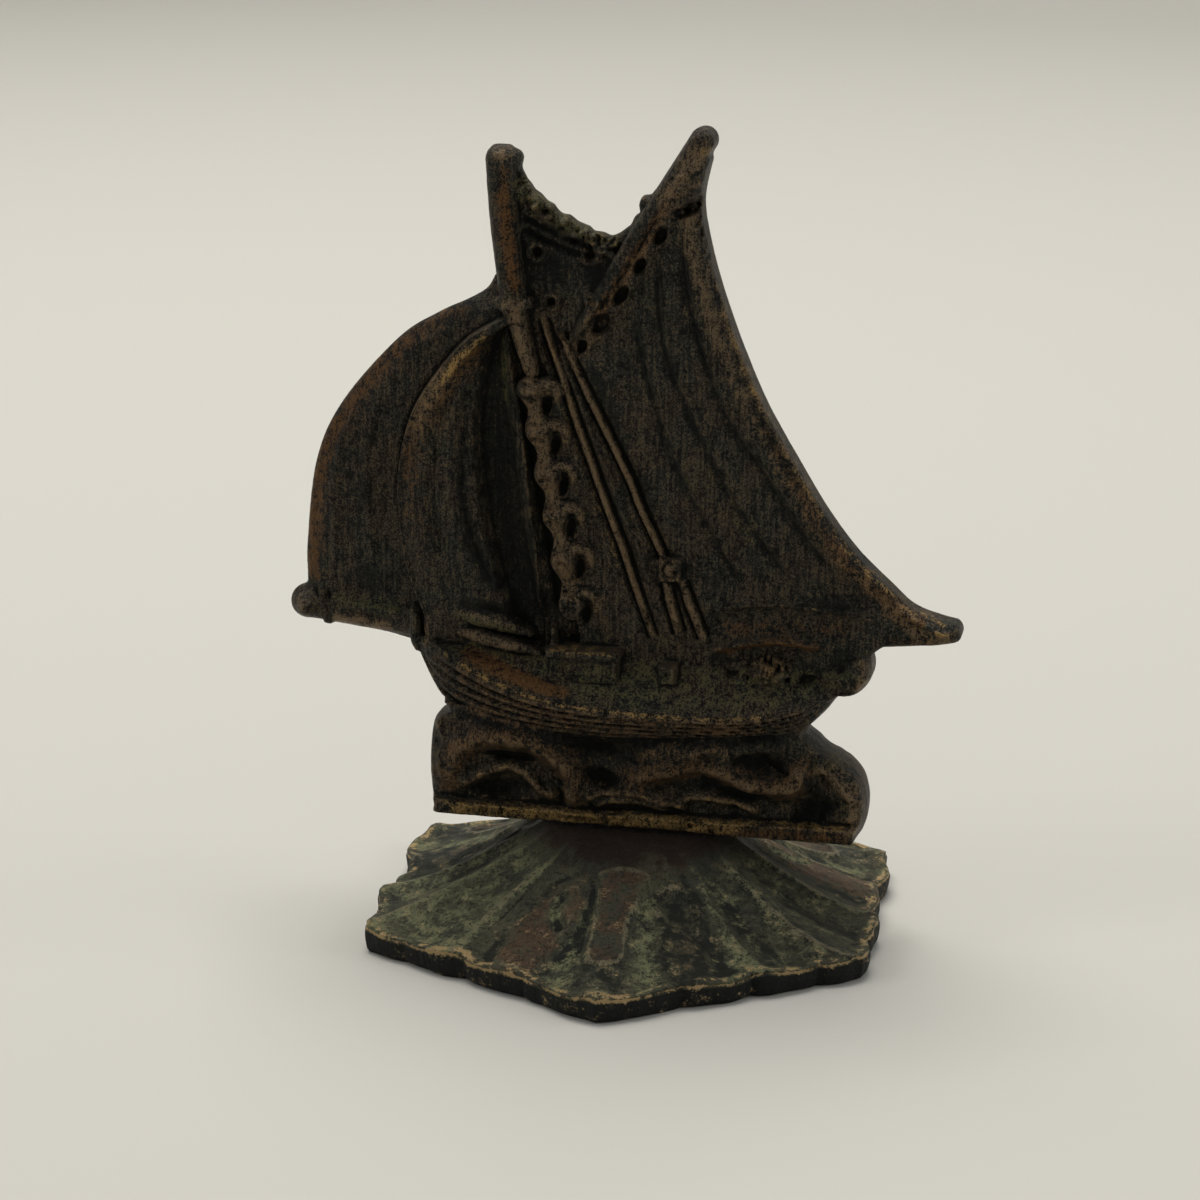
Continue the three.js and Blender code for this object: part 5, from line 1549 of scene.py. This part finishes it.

# %% [markdown]
# The foot stood in damp and was handled less, so it is grey-green all over, slaty in its flutes and
# reddish on the leaves, with bare brass and a painted highlight along the rim, and painted shade on the
# rim's outer face, on the flutes of one side and on the neck under the boat.

# %% Verdigris of the foot
def verdigris_brass():
    """Grey-green bloom, slaty hollows with painted shade, reddish leaves, worn ridges, painted shade on the
    rim's side, a bright rim with a painted highlight, and a neck in painted shade, in that order.
    """
    material, surface = new_material("verdigris_brass")
    clouds = noise(0.16, 4, 0.6).span(0.38, 0.62)
    blotches = noise(0.5, 5, 0.72).span(0.34, 0.66)
    mottle = noise(1.7, 5, 0.75).span(0.34, 0.66)
    fine = noise(4.6, 3, 0.7).span(0.33, 0.67)
    edge, hollow, raised = attribute("edge"), attribute("hollow"), attribute("raised")
    leaf, green, rim, side, outward = (attribute(name) for name in ("leaf", "green", "rim", "side", "outward"))
    grain = fine * 0.45 + mottle * 0.55

    colour = blend(clouds, (0.090, 0.085, 0.052), (0.058, 0.060, 0.042))
    bloom = (green * 0.8 + raised * 0.7 + (blotches - 0.5) * 1.0 + (grain - 0.5) * 0.6).span(0.3, 1.2)
    colour = blend(bloom * 0.9, colour, (0.205, 0.212, 0.112))
    # slate in the hollows, darkened further as painted shade
    slate_and_shade = (hollow * 1.1 + (0.5 - blotches) * 0.8 + (0.5 - grain) * 0.4).span(0.4, 1.15)
    colour = blend(slate_and_shade * 0.92, colour, (0.016, 0.018, 0.015))
    reddish = (leaf + (blotches - 0.5) * 0.9 + (grain - 0.5) * 0.6).span(0.3, 1.2)
    colour = blend(reddish * 0.8, colour, (0.100, 0.056, 0.034))
    worn = (edge * 0.9 + raised * 0.4 + (grain - 0.5) * 1.0 + (blotches - 0.5) * 0.5).span(0.45, 1.3)
    colour = blend(worn * 0.75, colour, (0.21, 0.18, 0.115))
    colour = blend(grain.span(0.5, 0.15) * 0.8, colour, (0.012, 0.012, 0.008))
    # painted shade on the rim's outer face
    dark_side = (side + (blotches - 0.5) * 0.4 + (grain - 0.5) * 0.4).span(0.35, 0.75)
    colour = blend(dark_side * 0.95, colour, (0.010, 0.011, 0.010))
    scuffs = (side * 0.35 + (grain - 0.5) * 0.9 + (blotches - 0.5) * 1.1).span(0.75, 1.1)
    colour = blend(scuffs * side * 0.5, colour, (0.10, 0.085, 0.06))
    # the rim's top edge: bare brass and a painted highlight
    bright = (rim * 1.2 + (grain - 0.5) * 1.0 + (blotches - 0.5) * 1.2).span(0.55, 1.15)
    colour = blend(bright * 0.95, colour, (0.46, 0.33, 0.16))
    # painted shade on the neck under the boat's block, with a reddish tint
    neck = ((1 - outward) + (grain - 0.5) * 0.08 + (blotches - 0.5) * 0.12).span(0.82, 0.99)
    colour = blend(neck * 0.92, colour, (0.018, 0.008, 0.006))

    rough = 0.55 - worn * 0.12 - bright * 0.15 + (grain - 0.5) * 0.3
    relief = mottle * 0.4 + fine * 0.2 + blotches * 0.7
    bump = {"Strength": 1.0, "Distance": 0.22 * MM, "Height": relief}
    metallic = 0.1 + worn * 0.25 + bright * 0.4
    plug(
        surface, Base_Color=colour, Roughness=rough.clip(), Metallic=metallic.clip(),
        Normal=Wire.node("ShaderNodeBump", None, bump), Specular_IOR_Level=0.16,
    )
    return material


foot.data.materials.append(verdigris_brass())

# %% [markdown]
# ## Attach the pieces
# Each casting rides on the one body and takes the place of its plain solid.

# %% Attach
for piece, node, finish in ((boat, "sailboat", "bronzed_brass"), (foot, "foot", "verdigris_brass")):
    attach(piece, "root")
    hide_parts(node)
